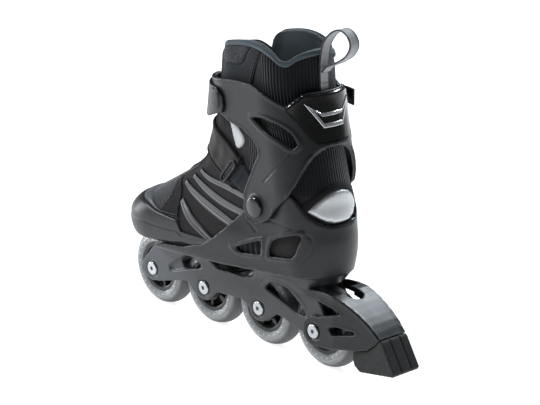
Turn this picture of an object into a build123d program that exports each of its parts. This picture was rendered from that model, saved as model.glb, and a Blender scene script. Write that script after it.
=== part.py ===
"""Right-foot recreational inline skate: soft boot, moulded shell and frame, hinged cuff, wheels, heel brake.

Millimetres. +X points to the toe, +Y to the inner side of the foot, +Z up. The origin is on the ground,
under the middle of the wheelbase and in the plane of the wheels.
"""
import math
import os
from build123d import *

os.makedirs("parts", exist_ok=True)

# ---------------------------------------------------------------- driving dimensions
WHEEL_RADIUS = 40
WHEEL_WIDTH = 24
WHEEL_PITCH = 81
WHEEL_COUNT = 4
AXLE_X = [WHEEL_PITCH * ((WHEEL_COUNT - 1) / 2 - i) for i in range(WHEEL_COUNT)]
AXLE_Z = WHEEL_RADIUS
AXLE_RADIUS = 4
BORE_CLEAR = 0.02
REAR_AXLE_X = AXLE_X[-1]

RAIL_OUT = 19
RAIL_IN = 15
BOSS_IN = 12.05

PIVOT_X = -66
PIVOT_Z = 154
PIVOT_RADIUS = 4

SHELL_CLEAR = 0.3
SHELL_OUT = 3.0
CUFF_IN = 3.9
CUFF_OUT = 7.6
STRAP_IN = 7.9
STRAP_OUT = 10.6
LINER_WALL = 5
COLLAR_WALL = 8
RUN_FIT = 0.05

# Level outlines of the boot: height, rear end, heel radius, front end, toe radius, toe centre towards +Y.
BOOT_LEVELS = [
    (80, -130, 29, 131, 42, 4),
    (92, -134, 33, 139, 47, 4),
    (104, -136, 36, 141, 49, 4),
    (116, -137, 38, 137, 48, 4),
    (126, -137, 38, 125, 43, 4),
    (134, -136, 38, 108, 38, 3),
    (142, -135, 38, 94, 35, 2),
    (152, -134, 38, 77, 33, 1),
    (162, -132, 38, 61, 32, 0),
    (172, -131, 38, 46, 31, 0),
    (184, -128, 37.5, 36, 31, 0),
    (200, -124, 37, 28, 32, 0),
    (220, -119, 37, 22, 34, 0),
    (240, -114, 38, 18, 36, 0),
    (260, -110, 39, 15, 37, 0),
    (285, -107, 39, 12, 38, 0),
    (312, -105.5, 39, 10, 38, 0),
]
# The stem between the rails and the boot, in the same form.
STEM_LEVELS = [
    (62, -117, 18, 112, 18.5, 0),
    (70, -121, 19, 117, 20, 0),
    (78, -125, 21.5, 122, 29, 1),
    (86, -131, 27, 126, 36, 3),
    (94, -136.5, 34, 127, 40, 3),
    (99, -137.5, 36, 127, 41, 3),
    (106, -134, 33, 127, 41, 3),
]
SOLE_HEEL_Z = 98
SOLE_TOE_Z = 85
SOLE_HEEL_X = -130
SOLE_TOE_X = 120

WIDE = 80
ANKLE_X = -80
REAR_LIMIT = 200
FRONT_LIMIT = SOLE_TOE_X + 60
TOP_LIMIT = 320


# ---------------------------------------------------------------- shared shapes
def sole_z(x, lift=0):
    """Height of the tilted surface that the boot stands on."""
    slope = (SOLE_TOE_Z - SOLE_HEEL_Z) / (SOLE_TOE_X - SOLE_HEEL_X)
    return SOLE_HEEL_Z + slope * (x - SOLE_HEEL_X) + lift


def sole_line(lift):
    """The boot's standing surface in the side view, from beyond the toe to beyond the heel."""
    return [(FRONT_LIMIT, sole_z(FRONT_LIMIT, lift)), (-REAR_LIMIT, sole_z(-REAR_LIMIT, lift))]


def on_arc(centre, radius, angle):
    """Point on a circle, the angle in radians."""
    return centre[0] + radius * math.cos(angle), centre[1] + radius * math.sin(angle)


def egg_outline(level, grow):
    """Level outline: a heel arc, a toe arc and the two lines that touch both."""
    height, rear_x, heel_radius, front_x, toe_radius, toe_y = level
    heel = (rear_x + heel_radius, 0)
    toe = (front_x - toe_radius, toe_y)
    length = math.dist(heel, toe)
    lean = math.atan2(toe_y, toe[0] - heel[0])
    spread = math.acos((heel_radius - toe_radius) / length)
    heel_radius += grow
    toe_radius += grow
    right_toe = on_arc(toe, toe_radius, lean - spread)
    left_toe = on_arc(toe, toe_radius, lean + spread)
    right_heel = on_arc(heel, heel_radius, lean - spread)
    left_heel = on_arc(heel, heel_radius, lean + spread)
    with BuildSketch(Plane.XY.offset(height)) as outline:
        with BuildLine():
            ThreePointArc(right_toe, on_arc(toe, toe_radius, lean), left_toe)
            Line(left_toe, left_heel)
            ThreePointArc(left_heel, on_arc(heel, heel_radius, lean + math.pi), right_heel)
            Line(right_heel, right_toe)
        make_face()
    return outline.sketch


def egg_solid(levels, grow, mode=Mode.ADD):
    """Smooth solid through the level outlines, grown outwards."""
    loft([egg_outline(level, grow) for level in levels], mode=mode)


def side_prism(points, mode=Mode.INTERSECT, low=-WIDE, high=WIDE, radius=0):
    """Side-view outline (X, Z) run across the skate from low to high in Y."""
    with BuildSketch(Plane.XZ.offset(-high)) as outline:
        with BuildLine():
            Polyline(*points, close=True)
        make_face()
        if radius:
            fillet(outline.vertices(), radius)
    extrude(outline.sketch, amount=high - low, mode=mode)


def rear_prism(points, mode=Mode.INTERSECT):
    """Rear-view outline (Y, Z) run forwards from beyond the heel as far as the ankle."""
    with BuildSketch(Plane.YZ.offset(-REAR_LIMIT)) as outline:
        with BuildLine():
            Polyline(*points, close=True)
        make_face()
    extrude(outline.sketch, amount=REAR_LIMIT + ANKLE_X, mode=mode)


def save(builder, label):
    """Label a finished piece and write it to its own file."""
    builder.part.label = label
    export_step(builder.part, f"parts/{label}.step")


def solid_between(inner, outer, levels=BOOT_LEVELS):
    """Skin around the boot, from one grown outline to another."""
    egg_solid(levels, outer)
    egg_solid(levels, inner, mode=Mode.SUBTRACT)


# ---------------------------------------------------------------- wheels
TYRE_CORE = 26
TYRE_SHOULDER = 31
CORE_HALF = 9.5
BEARING_OUT = 11
BEARING_HALF_GAP = 5
BEARING_END = 12
RACE_OUT = 6
BALL_RADIUS = 1.7
BALL_PITCH = 7.8
BALL_COUNT = 7
SPOKE_COUNT = 6


def wheel_plane(x):
    """Plane through a wheel's centre: local X along the axle, local Y up."""
    return Plane(origin=(x, 0, AXLE_Z), x_dir=(0, 1, 0), z_dir=(1, 0, 0))


def axle_axis(x):
    """Line that a wheel turns about."""
    return Axis((x, 0, AXLE_Z), (0, 1, 0))


def ring(x, inner, outer, start, end):
    """Plain ring about an axle, from start to end in Y."""
    with BuildSketch(Plane.XZ.offset(-end)) as disc:
        with Locations((x, AXLE_Z)):
            Circle(outer)
            if inner:
                Circle(inner, mode=Mode.SUBTRACT)
    extrude(disc.sketch, amount=end - start)


def make_tyre(x, label):
    """Urethane tyre with a round crown."""
    half_width = WHEEL_WIDTH / 2
    with BuildPart() as tyre:
        with BuildSketch(wheel_plane(x)):
            with BuildLine():
                Line((-CORE_HALF, TYRE_CORE), (CORE_HALF, TYRE_CORE))
                Line((CORE_HALF, TYRE_CORE), (half_width, TYRE_SHOULDER))
                ThreePointArc((half_width, TYRE_SHOULDER), (0, WHEEL_RADIUS), (-half_width, TYRE_SHOULDER))
                Line((-half_width, TYRE_SHOULDER), (-CORE_HALF, TYRE_CORE))
            make_face()
        revolve(axis=axle_axis(x))
    save(tyre, label)


def make_hub(x, label):
    """Moulded core: rim, spokes and the seats of the two bearings."""
    rim_in = 22
    collar_out = 14.5
    ledge_in = 9.5
    web_half = 5
    window_radius = 2.6
    with BuildPart() as hub:
        ring(x, rim_in, TYRE_CORE, -CORE_HALF, CORE_HALF)
        ring(x, collar_out - 0.5, rim_in + 0.5, -web_half, web_half)
        ring(x, BEARING_OUT, collar_out, -BEARING_END, BEARING_END)
        ring(x, ledge_in, BEARING_OUT, -BEARING_HALF_GAP, BEARING_HALF_GAP)
        with BuildSketch(Plane.XZ):
            with Locations((x, AXLE_Z)):
                with PolarLocations((collar_out + rim_in) / 2, SPOKE_COUNT):
                    Circle(window_radius)
        extrude(amount=web_half + 1, both=True, mode=Mode.SUBTRACT)
    save(hub, label)


def make_bearings(x, label):
    """Outer races with their shields, and the balls, of both bearings."""
    race_in = 9.6
    shield = 0.4
    ball_y = (BEARING_HALF_GAP + BEARING_END) / 2
    with BuildPart() as bearings:
        for side in (-1, 1):
            low, high = sorted((side * BEARING_HALF_GAP, side * BEARING_END))
            ring(x, race_in, BEARING_OUT, low, high)
            low, high = sorted((side * (BEARING_END - shield), side * BEARING_END))
            ring(x, RACE_OUT + 0.3, race_in + 0.2, low, high)
            centre = Plane(origin=(x, side * ball_y, AXLE_Z), x_dir=(1, 0, 0), z_dir=(0, 1, 0))
            with Locations(centre):
                with PolarLocations(BALL_PITCH, BALL_COUNT):
                    Sphere(BALL_RADIUS)
    save(bearings, label)


def make_spacer(x, label):
    """Inner races of both bearings and the tube that keeps them apart."""
    bore = AXLE_RADIUS + BORE_CLEAR
    tube_out = 5.5
    with BuildPart() as spacer:
        ring(x, bore, RACE_OUT, BEARING_HALF_GAP, BEARING_END)
        ring(x, bore, RACE_OUT, -BEARING_END, -BEARING_HALF_GAP)
        ring(x, bore, tube_out, -BEARING_HALF_GAP, BEARING_HALF_GAP)
    save(spacer, label)


def make_axle(x, label, seat, nut_face):
    """Axle bolt: domed head with a hexagon socket on the inner side, shank through both rails."""
    head_radius = 7
    head_height = 2.6
    dome = 1.2
    socket = 2.3
    with BuildPart() as axle:
        ring(x, 0, AXLE_RADIUS, -nut_face, seat)
        ring(x, 0, head_radius, seat, seat + head_height)
        rim = axle.faces().sort_by(Axis.Y)[-1].edges()
        fillet(rim, dome)
        with BuildSketch(Plane.XZ.offset(-(seat + head_height))):
            with Locations((x, AXLE_Z)):
                RegularPolygon(socket, 6)
        extrude(amount=head_height + 1, mode=Mode.SUBTRACT)
    save(axle, label)


for index, axle_x in enumerate(AXLE_X, start=1):
    make_tyre(axle_x, f"tyre_{index}")
    make_hub(axle_x, f"wheel_hub_{index}")
    make_bearings(axle_x, f"bearings_{index}")
    make_spacer(axle_x, f"bearing_spacer_{index}")


# ---------------------------------------------------------------- shell and frame
RAIL_SIDE = [
    (141, 36), (137, 45), (114, 71), (106, 80), (-118, 80), (-124, 70), (-132, 57), (-134, 46), (-128, 32),
    (-116, 30), (-96, 34), (-78, 39), (-67, 41), (-55, 33), (-48, 28.5), (-36, 28.5), (-25, 39), (-15, 43),
    (21, 40), (33, 28.5), (47, 27.5), (57, 32), (66, 40), (74, 39), (112, 28.5), (132, 28),
]
CUP_SIDE = [
    (92, 78), (66, 87), (39, 90), (10, 99), (-10, 112), (-27, 127), (-43, 143), (-50, 158), (-58, 171),
    (-99, 173), (-107, 171), (-113, 164), (-121, 154), (-129, 147), (-136, 143), (-150, 140), (-150, 95),
    (-60, 88),
]
FRONT_WINDOW = [(77, 60), (70, 66), (57, 66), (48, 62), (48, 58.5), (73, 52.5)]
FRONT_RECESS = [(95, 50), (68, 69), (52, 69), (42, 60), (92, 44)]
MIDDLE_WINDOW = [(36, 74), (-37, 86), (-44, 83), (-33, 71), (-20, 67.5), (19, 65.5)]
REAR_WINDOW = [(-48, 64), (-60, 72), (-80, 72), (-103, 58), (-109, 49), (-92, 50)]
SIDE_VENT_FRONT = [(-35, 107), (-68, 121), (-71, 119), (-69, 107), (-43, 103)]
SIDE_VENT_REAR = [
    (-81, 114), (-84, 123), (-90, 127), (-114, 136), (-118, 133), (-112, 116), (-108, 112), (-81, 108),
]
WELL_RADIUS = 43.5
WELL_TOP = 56
LOBE_RADIUS = 13
RECESS_DEPTH = 2.5
BOLT_SEAT = RAIL_OUT - 1.5
BOLT_RECESS_RADIUS = 9
NUT_RADIUS = 6.5
NUT_HEIGHT = 3
NUT_FACE = RAIL_OUT + 0.3


def axle_locations():
    """The four axle centres, in the side view."""
    return Locations(*[(x, AXLE_Z) for x in AXLE_X])


def cut_wheel_space():
    """Wheel wells and the open channel between the rails."""
    with BuildSketch(Plane.XZ) as channel:
        with axle_locations():
            Circle(WELL_RADIUS)
        with Locations((0, WELL_TOP - WIDE)):
            Rectangle(2 * REAR_LIMIT, 2 * WIDE)
    extrude(channel.sketch, amount=RAIL_IN, both=True, mode=Mode.SUBTRACT)


def add_bosses():
    """Lobes of the rails around the axles, and the inner bosses that touch the bearings."""
    with BuildSketch(Plane.XZ) as lobes:
        with axle_locations():
            Circle(LOBE_RADIUS)
    extrude(lobes.sketch, amount=RAIL_OUT, both=True)


def add_bearing_bosses():
    """Short inner bosses that the inner races bear on."""
    for x in AXLE_X:
        ring(x, 0, RACE_OUT - 0.2, BOSS_IN, RAIL_IN + 1)
        ring(x, 0, RACE_OUT - 0.2, -RAIL_IN - 1, -BOSS_IN)


def cut_axle_holes():
    """Axle bores, the round recesses of the bolt heads and the pockets of the nuts."""
    with BuildSketch(Plane.XZ) as bores:
        with axle_locations():
            Circle(AXLE_RADIUS + BORE_CLEAR)
    extrude(bores.sketch, amount=RAIL_OUT + 1, both=True, mode=Mode.SUBTRACT)
    with BuildSketch(Plane.XZ.offset(-BOLT_SEAT)) as recesses:
        with axle_locations():
            Circle(BOLT_RECESS_RADIUS)
    extrude(recesses.sketch, amount=-RAIL_OUT, mode=Mode.SUBTRACT)
    with BuildSketch(Plane.XZ.offset(NUT_FACE - NUT_HEIGHT)) as pockets:
        with axle_locations():
            RegularPolygon(NUT_RADIUS, 6)
    extrude(pockets.sketch, amount=RAIL_OUT, mode=Mode.SUBTRACT)


with BuildPart() as boot_space:
    egg_solid(BOOT_LEVELS, SHELL_CLEAR)
    side_prism(sole_line(0) + [(-REAR_LIMIT, TOP_LIMIT), (FRONT_LIMIT, TOP_LIMIT)])

with BuildPart() as shell_frame:
    egg_solid(BOOT_LEVELS, SHELL_OUT)
    side_prism(CUP_SIDE)
    egg_solid(STEM_LEVELS, 0)
    side_prism(RAIL_SIDE, mode=Mode.ADD, low=-RAIL_OUT, high=RAIL_OUT, radius=2.5)
    add_bosses()
    add(boot_space.part, mode=Mode.SUBTRACT)
    cut_wheel_space()
    add_bearing_bosses()
    cut_axle_holes()
    side_prism(FRONT_WINDOW, mode=Mode.SUBTRACT, radius=2)
    side_prism(MIDDLE_WINDOW, mode=Mode.SUBTRACT, radius=2)
    side_prism(REAR_WINDOW, mode=Mode.SUBTRACT, radius=2)
    side_prism(SIDE_VENT_FRONT, mode=Mode.SUBTRACT, radius=1.5)
    side_prism(SIDE_VENT_REAR, mode=Mode.SUBTRACT, radius=1.5)
    for low, high in ((RAIL_OUT - RECESS_DEPTH, WIDE), (-WIDE, -RAIL_OUT + RECESS_DEPTH)):
        side_prism(FRONT_RECESS, mode=Mode.SUBTRACT, low=low, high=high, radius=2)
    with BuildSketch(Plane.XZ) as pivot_bore:
        with Locations((PIVOT_X, PIVOT_Z)):
            Circle(PIVOT_RADIUS)
    extrude(pivot_bore.sketch, amount=WIDE, both=True, mode=Mode.SUBTRACT)
save(shell_frame, "shell_frame")


# ---------------------------------------------------------------- soft boot
NECK_ANGLE = math.radians(36)
HEEL_ANGLE = math.radians(32)
COLLAR_FRONT_ANGLE = math.radians(60)
COLLAR_REAR_ANGLE = math.radians(36.5)
TONGUE_ANGLE = NECK_ANGLE + 0.02
HUB_CLEAR = 16
TONGUE_HALF = 26
TONGUE_GAP = 0.4
TONGUE_X = -14
TONGUE_OUT = -1.5
FLEX_ROOM = 22
BOOT_LIFT = 0.2
COLLAR_OUT = -0.3
RIM = [
    (14, 281), (2, 288), (-12, 294), (-30, 300), (-50, 303), (-66, 303), (-78, 298), (-86, 292), (-92, 291),
    (-99, 297), (-107, 301), (-116, 302),
]
BINDING_HEIGHT = 3
BINDING_IN = -COLLAR_WALL - 0.8
BINDING_OUT = 0.5
INSOLE_HEIGHT = 4
ANKLE_Z = 250
ANKLE_HEIGHT = 200


def from_pivot(angle, distance):
    """Side-view point at an angle above the toe direction, seen from the cuff pivot."""
    return PIVOT_X + distance * math.cos(angle), PIVOT_Z + distance * math.sin(angle)


def raised(points, lift):
    """The same side-view points, higher up."""
    return [(x, z + lift) for x, z in points]


def front_block(rear_x, half_width, mode):
    """Upright block ahead of rear_x, as wide as the tongue or the gap that it sits in."""
    with Locations((rear_x + WIDE / 2, 0, ANKLE_Z)):
        Box(WIDE, 2 * half_width, ANKLE_HEIGHT, mode=mode)


LOWER_BOOT_SIDE = sole_line(BOOT_LIFT) + [
    from_pivot(math.pi - HEEL_ANGLE, 150), (PIVOT_X, PIVOT_Z), from_pivot(NECK_ANGLE, 250),
]
COLLAR_SIDE = [(PIVOT_X, PIVOT_Z), from_pivot(COLLAR_FRONT_ANGLE, 130)] + RIM[:-1] + [
    (-125, 302), from_pivot(math.pi - COLLAR_REAR_ANGLE, 90),
]
TONGUE_TOP = raised(RIM[:3], BINDING_HEIGHT) + [(TONGUE_X, 298), (TONGUE_X, 200)]
TONGUE_SIDE = [from_pivot(TONGUE_ANGLE, 50), from_pivot(TONGUE_ANGLE, 160)] + TONGUE_TOP

with BuildPart() as foot_space:
    egg_solid(BOOT_LEVELS, -LINER_WALL)
    side_prism(sole_line(BOOT_LIFT + LINER_WALL) + [(-REAR_LIMIT, TOP_LIMIT), (FRONT_LIMIT, TOP_LIMIT)])

with BuildPart() as boot_upper:
    egg_solid(BOOT_LEVELS, 0)
    side_prism(LOWER_BOOT_SIDE)
    add(foot_space.part, mode=Mode.SUBTRACT)
save(boot_upper, "boot_upper")

with BuildPart() as insole:
    egg_solid(BOOT_LEVELS, -LINER_WALL - SHELL_CLEAR)
    side_prism(sole_line(LINER_WALL + SHELL_CLEAR) + sole_line(LINER_WALL + INSOLE_HEIGHT)[::-1])
save(insole, "insole")

with BuildPart() as collar:
    solid_between(-COLLAR_WALL, COLLAR_OUT)
    side_prism(COLLAR_SIDE)
    front_block(TONGUE_X - FLEX_ROOM, TONGUE_HALF + TONGUE_GAP, Mode.SUBTRACT)
    with BuildSketch(Plane.XZ) as pivot_space:
        with Locations((PIVOT_X, PIVOT_Z)):
            Circle(HUB_CLEAR)
    extrude(pivot_space.sketch, amount=WIDE, both=True, mode=Mode.SUBTRACT)
save(collar, "collar")

with BuildPart() as tongue:
    solid_between(-COLLAR_WALL, TONGUE_OUT)
    side_prism(TONGUE_SIDE)
    front_block(TONGUE_X, TONGUE_HALF, Mode.INTERSECT)
save(tongue, "tongue")

with BuildPart() as collar_binding:
    solid_between(BINDING_IN, BINDING_OUT)
    side_prism(raised(RIM, 0.02) + raised(RIM, BINDING_HEIGHT)[::-1])
    front_block(TONGUE_X, TONGUE_HALF + TONGUE_GAP, Mode.SUBTRACT)
save(collar_binding, "collar_binding")

# ---------------------------------------------------------------- trim on the boot
TRIM_IN = 0.1
TRIM_OUT = 1.5
RAND_OUT = 1.8
RAND_SIDE = [
    (41, 107), (44, 117), (60, 118), (76, 120), (90, 124), (114, 126), (160, 126), (160, 84), (90, 87),
    (70, 89.5), (52, 92),
]
RIB_SIDES = [
    [(-2, 111), (14, 118.5), (27, 126), (42, 135), (50, 133), (38, 124), (27, 118), (5, 107)],
    [(-26, 130), (9, 139.5), (28, 146), (44, 153), (49, 151), (37, 144), (14, 136), (-23, 126)],
    [(-37, 143), (-12, 146.5), (12, 152.5), (30, 160), (39, 159), (30, 153), (17, 147), (-8, 141.5),
     (-36, 139)],
    [(-41, 157.5), (-15, 161.5), (7, 163), (18, 165.5), (27, 169), (30, 165), (18, 161), (7, 159), (-15, 158),
     (-40, 154.5)],
]

with BuildPart() as toe_rand:
    solid_between(TRIM_IN, RAND_OUT)
    side_prism(RAND_SIDE)
save(toe_rand, "toe_rand")

for number, rib_side in enumerate(RIB_SIDES, start=1):
    with BuildPart() as rib:
        solid_between(TRIM_IN, TRIM_OUT)
        side_prism(rib_side)
    save(rib, f"vamp_rib_{number}")

BADGE_REAR = [
    (30, 158), (20, 169), (9, 175), (-9, 175), (-20, 169), (-30, 158), (-18, 149), (-7, 145.5), (7, 145.5),
    (18, 149),
]
with BuildPart() as heel_badge:
    solid_between(TRIM_IN, TRIM_OUT)
    rear_prism(BADGE_REAR)
save(heel_badge, "heel_badge")

# ---------------------------------------------------------------- instep strap
INSTEP_IN = 0.8
INSTEP_OUT = 3.2
INSTEP_SIDE = [
    (-33, 190), (-14, 169), (4, 178), (16, 188), (40, 196), (40, 226), (16, 219), (-2, 212), (-16, 203),
    (-29, 194),
]
ANCHOR_SIDE = [(-15, 169), (-24, 166), (-37, 160), (-47, 162), (-51, 177), (-34, 189.5)]
RING_CENTRE = (-23.5, 179)
RING_LENGTH = 30
RING_WIDTH = 9
RING_WIRE = 2.2
RING_LOW = 40.2
RING_ANGLE = 130
RING_ROUND = 0.7

with BuildPart() as instep_strap:
    solid_between(INSTEP_IN, INSTEP_OUT)
    side_prism(INSTEP_SIDE)
save(instep_strap, "instep_strap")

with BuildPart() as strap_anchor:
    solid_between(SHELL_CLEAR, TRIM_OUT)
    side_prism(ANCHOR_SIDE)
save(strap_anchor, "strap_anchor")

with BuildPart() as strap_ring:
    with BuildSketch(Plane.XZ.offset(-RING_LOW - RING_WIRE)) as ring_outline:
        with Locations(Location(RING_CENTRE + (0,), (0, 0, RING_ANGLE))):
            SlotOverall(RING_LENGTH, RING_WIDTH)
            SlotOverall(RING_LENGTH - 2 * RING_WIRE, RING_WIDTH - 2 * RING_WIRE, mode=Mode.SUBTRACT)
    extrude(ring_outline.sketch, amount=RING_WIRE)
    fillet(strap_ring.edges().filter_by(Plane.XZ), RING_ROUND)
save(strap_ring, "strap_ring")


# ---------------------------------------------------------------- cuff
CUFF_SIDE = [
    (-52, 139), (-61, 136.5), (-71, 138), (-84, 146), (-89, 153), (-95, 160), (-106, 170), (-113, 184),
    (-117, 197), (-120, 207), (-124, 216), (-130, 219), (-150, 219), (-150, 267), (-110, 267), (-104, 261),
    (-98, 254.5), (-84, 261), (-70, 267.5), (-60, 270), (-40, 270), (-25, 269), (0, 266), (40, 263),
    (40, 240), (0, 238), (-13, 233.5), (-25, 229), (-47, 225), (-60, 218), (-67, 211), (-68, 204),
    (-55, 181), (-47, 161), (-48, 147),
]
CUFF_VENT = [
    (-59, 239), (-76, 241), (-94, 237), (-105, 230), (-110.5, 220), (-107, 216.5), (-94, 223), (-75, 230),
]
PANEL_SIDE = [
    (-98.5, 253), (-104.5, 259.5), (-110, 266), (-150, 266), (-150, 221), (-122, 221), (-115, 231),
    (-108, 242),
]
PANEL_IN = 5.6
PANEL_OUT = 8.4
CHEVRON_IN = 8.45
CHEVRON_OUT = 9.2
CHEVRON_REAR = [(27, 258), (13, 248.5), (-13, 248.5), (-27, 258), (-12, 235), (12, 235)]
CHEVRON_LABEL = [(20, 252), (12, 245.5), (-12, 245.5), (-20, 252), (-11.5, 239.5), (11.5, 239.5)]
SHIN_GAP_HALF = 12
CAP_RADIUS = 10
CAP_LOW = 45.9
CAP_HIGH = 48.6
CAP_ROUND = 1.6
SHAFT_LOW = 38.6
PIVOT_BOSS = 45.6
BOSS_RADIUS = CAP_RADIUS + 1.5
GAP_REAR_X = -20
RIVET_RADIUS = 2
RIVET_LOW = 41.5
RIVET_HIGH = 48.2
BUCKLE_RIVETS = [(-78, 248.4), (-56, 248.4)]

with BuildPart() as back_panel:
    solid_between(PANEL_IN, PANEL_OUT)
    side_prism(PANEL_SIDE)
save(back_panel, "back_panel")

with BuildPart() as chevron_trim:
    solid_between(CHEVRON_IN, CHEVRON_OUT)
    rear_prism(CHEVRON_REAR)
    rear_prism(CHEVRON_LABEL, mode=Mode.SUBTRACT)
save(chevron_trim, "chevron_trim")

with BuildPart() as cuff:
    egg_solid(BOOT_LEVELS, CUFF_OUT)
    with BuildSketch(Plane.XZ) as pivot_boss:
        with Locations((PIVOT_X, PIVOT_Z)):
            Circle(BOSS_RADIUS)
    extrude(pivot_boss.sketch, amount=PIVOT_BOSS, both=True)
    egg_solid(BOOT_LEVELS, CUFF_IN, mode=Mode.SUBTRACT)
    side_prism(CUFF_SIDE, radius=1.5)
    side_prism(CUFF_VENT, mode=Mode.SUBTRACT, radius=1)
    front_block(GAP_REAR_X, SHIN_GAP_HALF, Mode.SUBTRACT)
    with BuildSketch(Plane.XZ) as cuff_bores:
        with Locations((PIVOT_X, PIVOT_Z)):
            Circle(PIVOT_RADIUS)
    extrude(cuff_bores.sketch, amount=WIDE, both=True, mode=Mode.SUBTRACT)
    with BuildSketch(Plane.XZ) as rivet_bores:
        with Locations(*BUCKLE_RIVETS):
            Circle(RIVET_RADIUS)
    extrude(rivet_bores.sketch, amount=WIDE, mode=Mode.SUBTRACT)
    add(back_panel.part, mode=Mode.SUBTRACT)
save(cuff, "cuff")

for side, label in ((1, "pivot_rivet_inner"), (-1, "pivot_rivet_outer")):
    with BuildPart() as pivot_rivet:
        with BuildSketch(Plane.XZ.offset(-side * CAP_LOW)) as cap:
            with Locations((PIVOT_X, PIVOT_Z)):
                Circle(CAP_RADIUS)
        extrude(cap.sketch, amount=-side * (CAP_HIGH - CAP_LOW))
        fillet(pivot_rivet.faces().sort_by(Axis.Y)[-1 if side > 0 else 0].edges(), CAP_ROUND)
        with BuildSketch(Plane.XZ.offset(-side * SHAFT_LOW)) as shaft:
            with Locations((PIVOT_X, PIVOT_Z)):
                Circle(PIVOT_RADIUS - RUN_FIT)
        extrude(shaft.sketch, amount=-side * (CAP_LOW - SHAFT_LOW + CAP_ROUND / 4))
    save(pivot_rivet, label)

# ---------------------------------------------------------------- cuff strap and buckle
STRAP_INNER_SIDE = [
    (-22, 243), (-21, 252), (-13, 259), (40, 262), (40, 226), (6, 227), (-13, 234), (-20, 236),
]
STRAP_OUTER_SIDE = [(-31, 240.5), (-31, 255.5), (0, 258), (40, 262), (40, 226), (0, 236)]
TAIL_LOW = 240.5
TAIL_HIGH = 255.5
TAIL_IN = -48.4
TAIL_OUT = -50.4
TAIL_PLAN = [
    (-27, -45.4), (-33, -45.6), (-40.5, TAIL_IN), (-86, TAIL_IN), (-88, -49.4), (-86, TAIL_OUT),
    (-39.5, TAIL_OUT), (-32, -47.9), (-27, -47.4),
]
TOOTH_COUNT = 10
TOOTH_PITCH = 4
TOOTH_X = -82
TOOTH_HEIGHT = 0.4
TOOTH_MARGIN = 2
BASE_LOW = 238.5
BASE_HIGH = 258.3
BASE_PLAN = [(-87, -46.8), (-87, -48.2), (-42, -48.2), (-42, -46.8)]
EAR_THICK = 1.8
PIN_HEAD = 0.4
LEVER_PIN = (-47, -54.6)
LEVER_PIN_RADIUS = 1.6
PAWL_PIN = (-80, -52.2)
PAWL_PIN_RADIUS = 0.8
LEVER_PLAN = [
    (-44.3, -56.4), (-43.6, -54.4), (-44.6, -52.3), (-47, -51.3), (-51.5, -52.2), (-57, -55.3), (-72, -55.2),
    (-84, -54.4), (-96, -50.6), (-97.5, -51.6), (-96, -53.8), (-85, -57.2), (-72, -58.2), (-56, -58.4),
    (-49, -57.9),
]
PAWL_PLAN = [
    (-82, -51.0), (-82, -53.3), (-78, -53.4), (-64, -53), (-61.8, -51.6), (-62.6, -50.95), (-66, -51.6),
    (-77, -51.1),
]
PAWL_TAB_PLAN = [(-73, -51.6), (-73, -53.2), (-65, -53), (-65, -51.6)]
EAR_PLAN_FRONT = [(-51, -46.9), (-50.5, -55), (-47, -57), (-43.5, -55), (-43, -46.9)]
EAR_PLAN_REAR = [(-84, -46.9), (-83, -53), (-80, -53.6), (-77, -53), (-76, -46.9)]


def plan_prism(points, low, high, mode=Mode.ADD):
    """Plan-view outline (X, Y) raised from low to high in Z."""
    with BuildSketch(Plane.XY.offset(low)) as outline:
        with BuildLine():
            Polyline(*points, close=True)
        make_face()
    extrude(outline.sketch, amount=high - low, mode=mode)


def upright_pin(centre, radius, low, high, mode=Mode.ADD):
    """Pin or bore along Z."""
    with BuildSketch(Plane.XY.offset(low)) as outline:
        with Locations(centre):
            Circle(radius)
    extrude(outline.sketch, amount=high - low, mode=mode)


with BuildPart() as strap_zone:
    side_prism(STRAP_INNER_SIDE, mode=Mode.ADD, low=0, high=WIDE)
    side_prism(STRAP_OUTER_SIDE, mode=Mode.ADD, low=-WIDE, high=0)

with BuildPart() as cuff_strap:
    solid_between(STRAP_IN, STRAP_OUT)
    add(strap_zone.part, mode=Mode.INTERSECT)
    plan_prism(TAIL_PLAN, TAIL_LOW, TAIL_HIGH)
    tooth_z = (TAIL_LOW + TAIL_HIGH) / 2
    with Locations(*[(TOOTH_X + TOOTH_PITCH * i, TAIL_OUT, tooth_z) for i in range(TOOTH_COUNT)]):
        Box(TOOTH_PITCH / 2, 2 * TOOTH_HEIGHT, TAIL_HIGH - TAIL_LOW - 2 * TOOTH_MARGIN)
save(cuff_strap, "cuff_strap")

with BuildPart() as buckle_base:
    plan_prism(BASE_PLAN, BASE_LOW, BASE_HIGH)
    for ear_plan in (EAR_PLAN_FRONT, EAR_PLAN_REAR):
        plan_prism(ear_plan, BASE_LOW, BASE_LOW + EAR_THICK)
        plan_prism(ear_plan, BASE_HIGH - EAR_THICK, BASE_HIGH)
    upright_pin(LEVER_PIN, LEVER_PIN_RADIUS, BASE_LOW, BASE_HIGH, mode=Mode.SUBTRACT)
    upright_pin(PAWL_PIN, PAWL_PIN_RADIUS, BASE_LOW, BASE_HIGH, mode=Mode.SUBTRACT)
    with BuildSketch(Plane.XZ) as base_bores:
        with Locations(*BUCKLE_RIVETS):
            Circle(RIVET_RADIUS)
    extrude(base_bores.sketch, amount=WIDE, mode=Mode.SUBTRACT)
save(buckle_base, "buckle_base")

with BuildPart() as buckle_rivets:
    with BuildSketch(Plane.XZ.offset(RIVET_LOW)) as rivet_shanks:
        with Locations(*BUCKLE_RIVETS):
            Circle(RIVET_RADIUS)
    extrude(rivet_shanks.sketch, amount=RIVET_HIGH - RIVET_LOW)
save(buckle_rivets, "buckle_rivets")

with BuildPart() as buckle_lever:
    plan_prism(LEVER_PLAN, TAIL_LOW + 0.3, TAIL_HIGH + 0.5)
    upright_pin(LEVER_PIN, LEVER_PIN_RADIUS + RUN_FIT, BASE_LOW, BASE_HIGH, mode=Mode.SUBTRACT)
save(buckle_lever, "buckle_lever")

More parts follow.
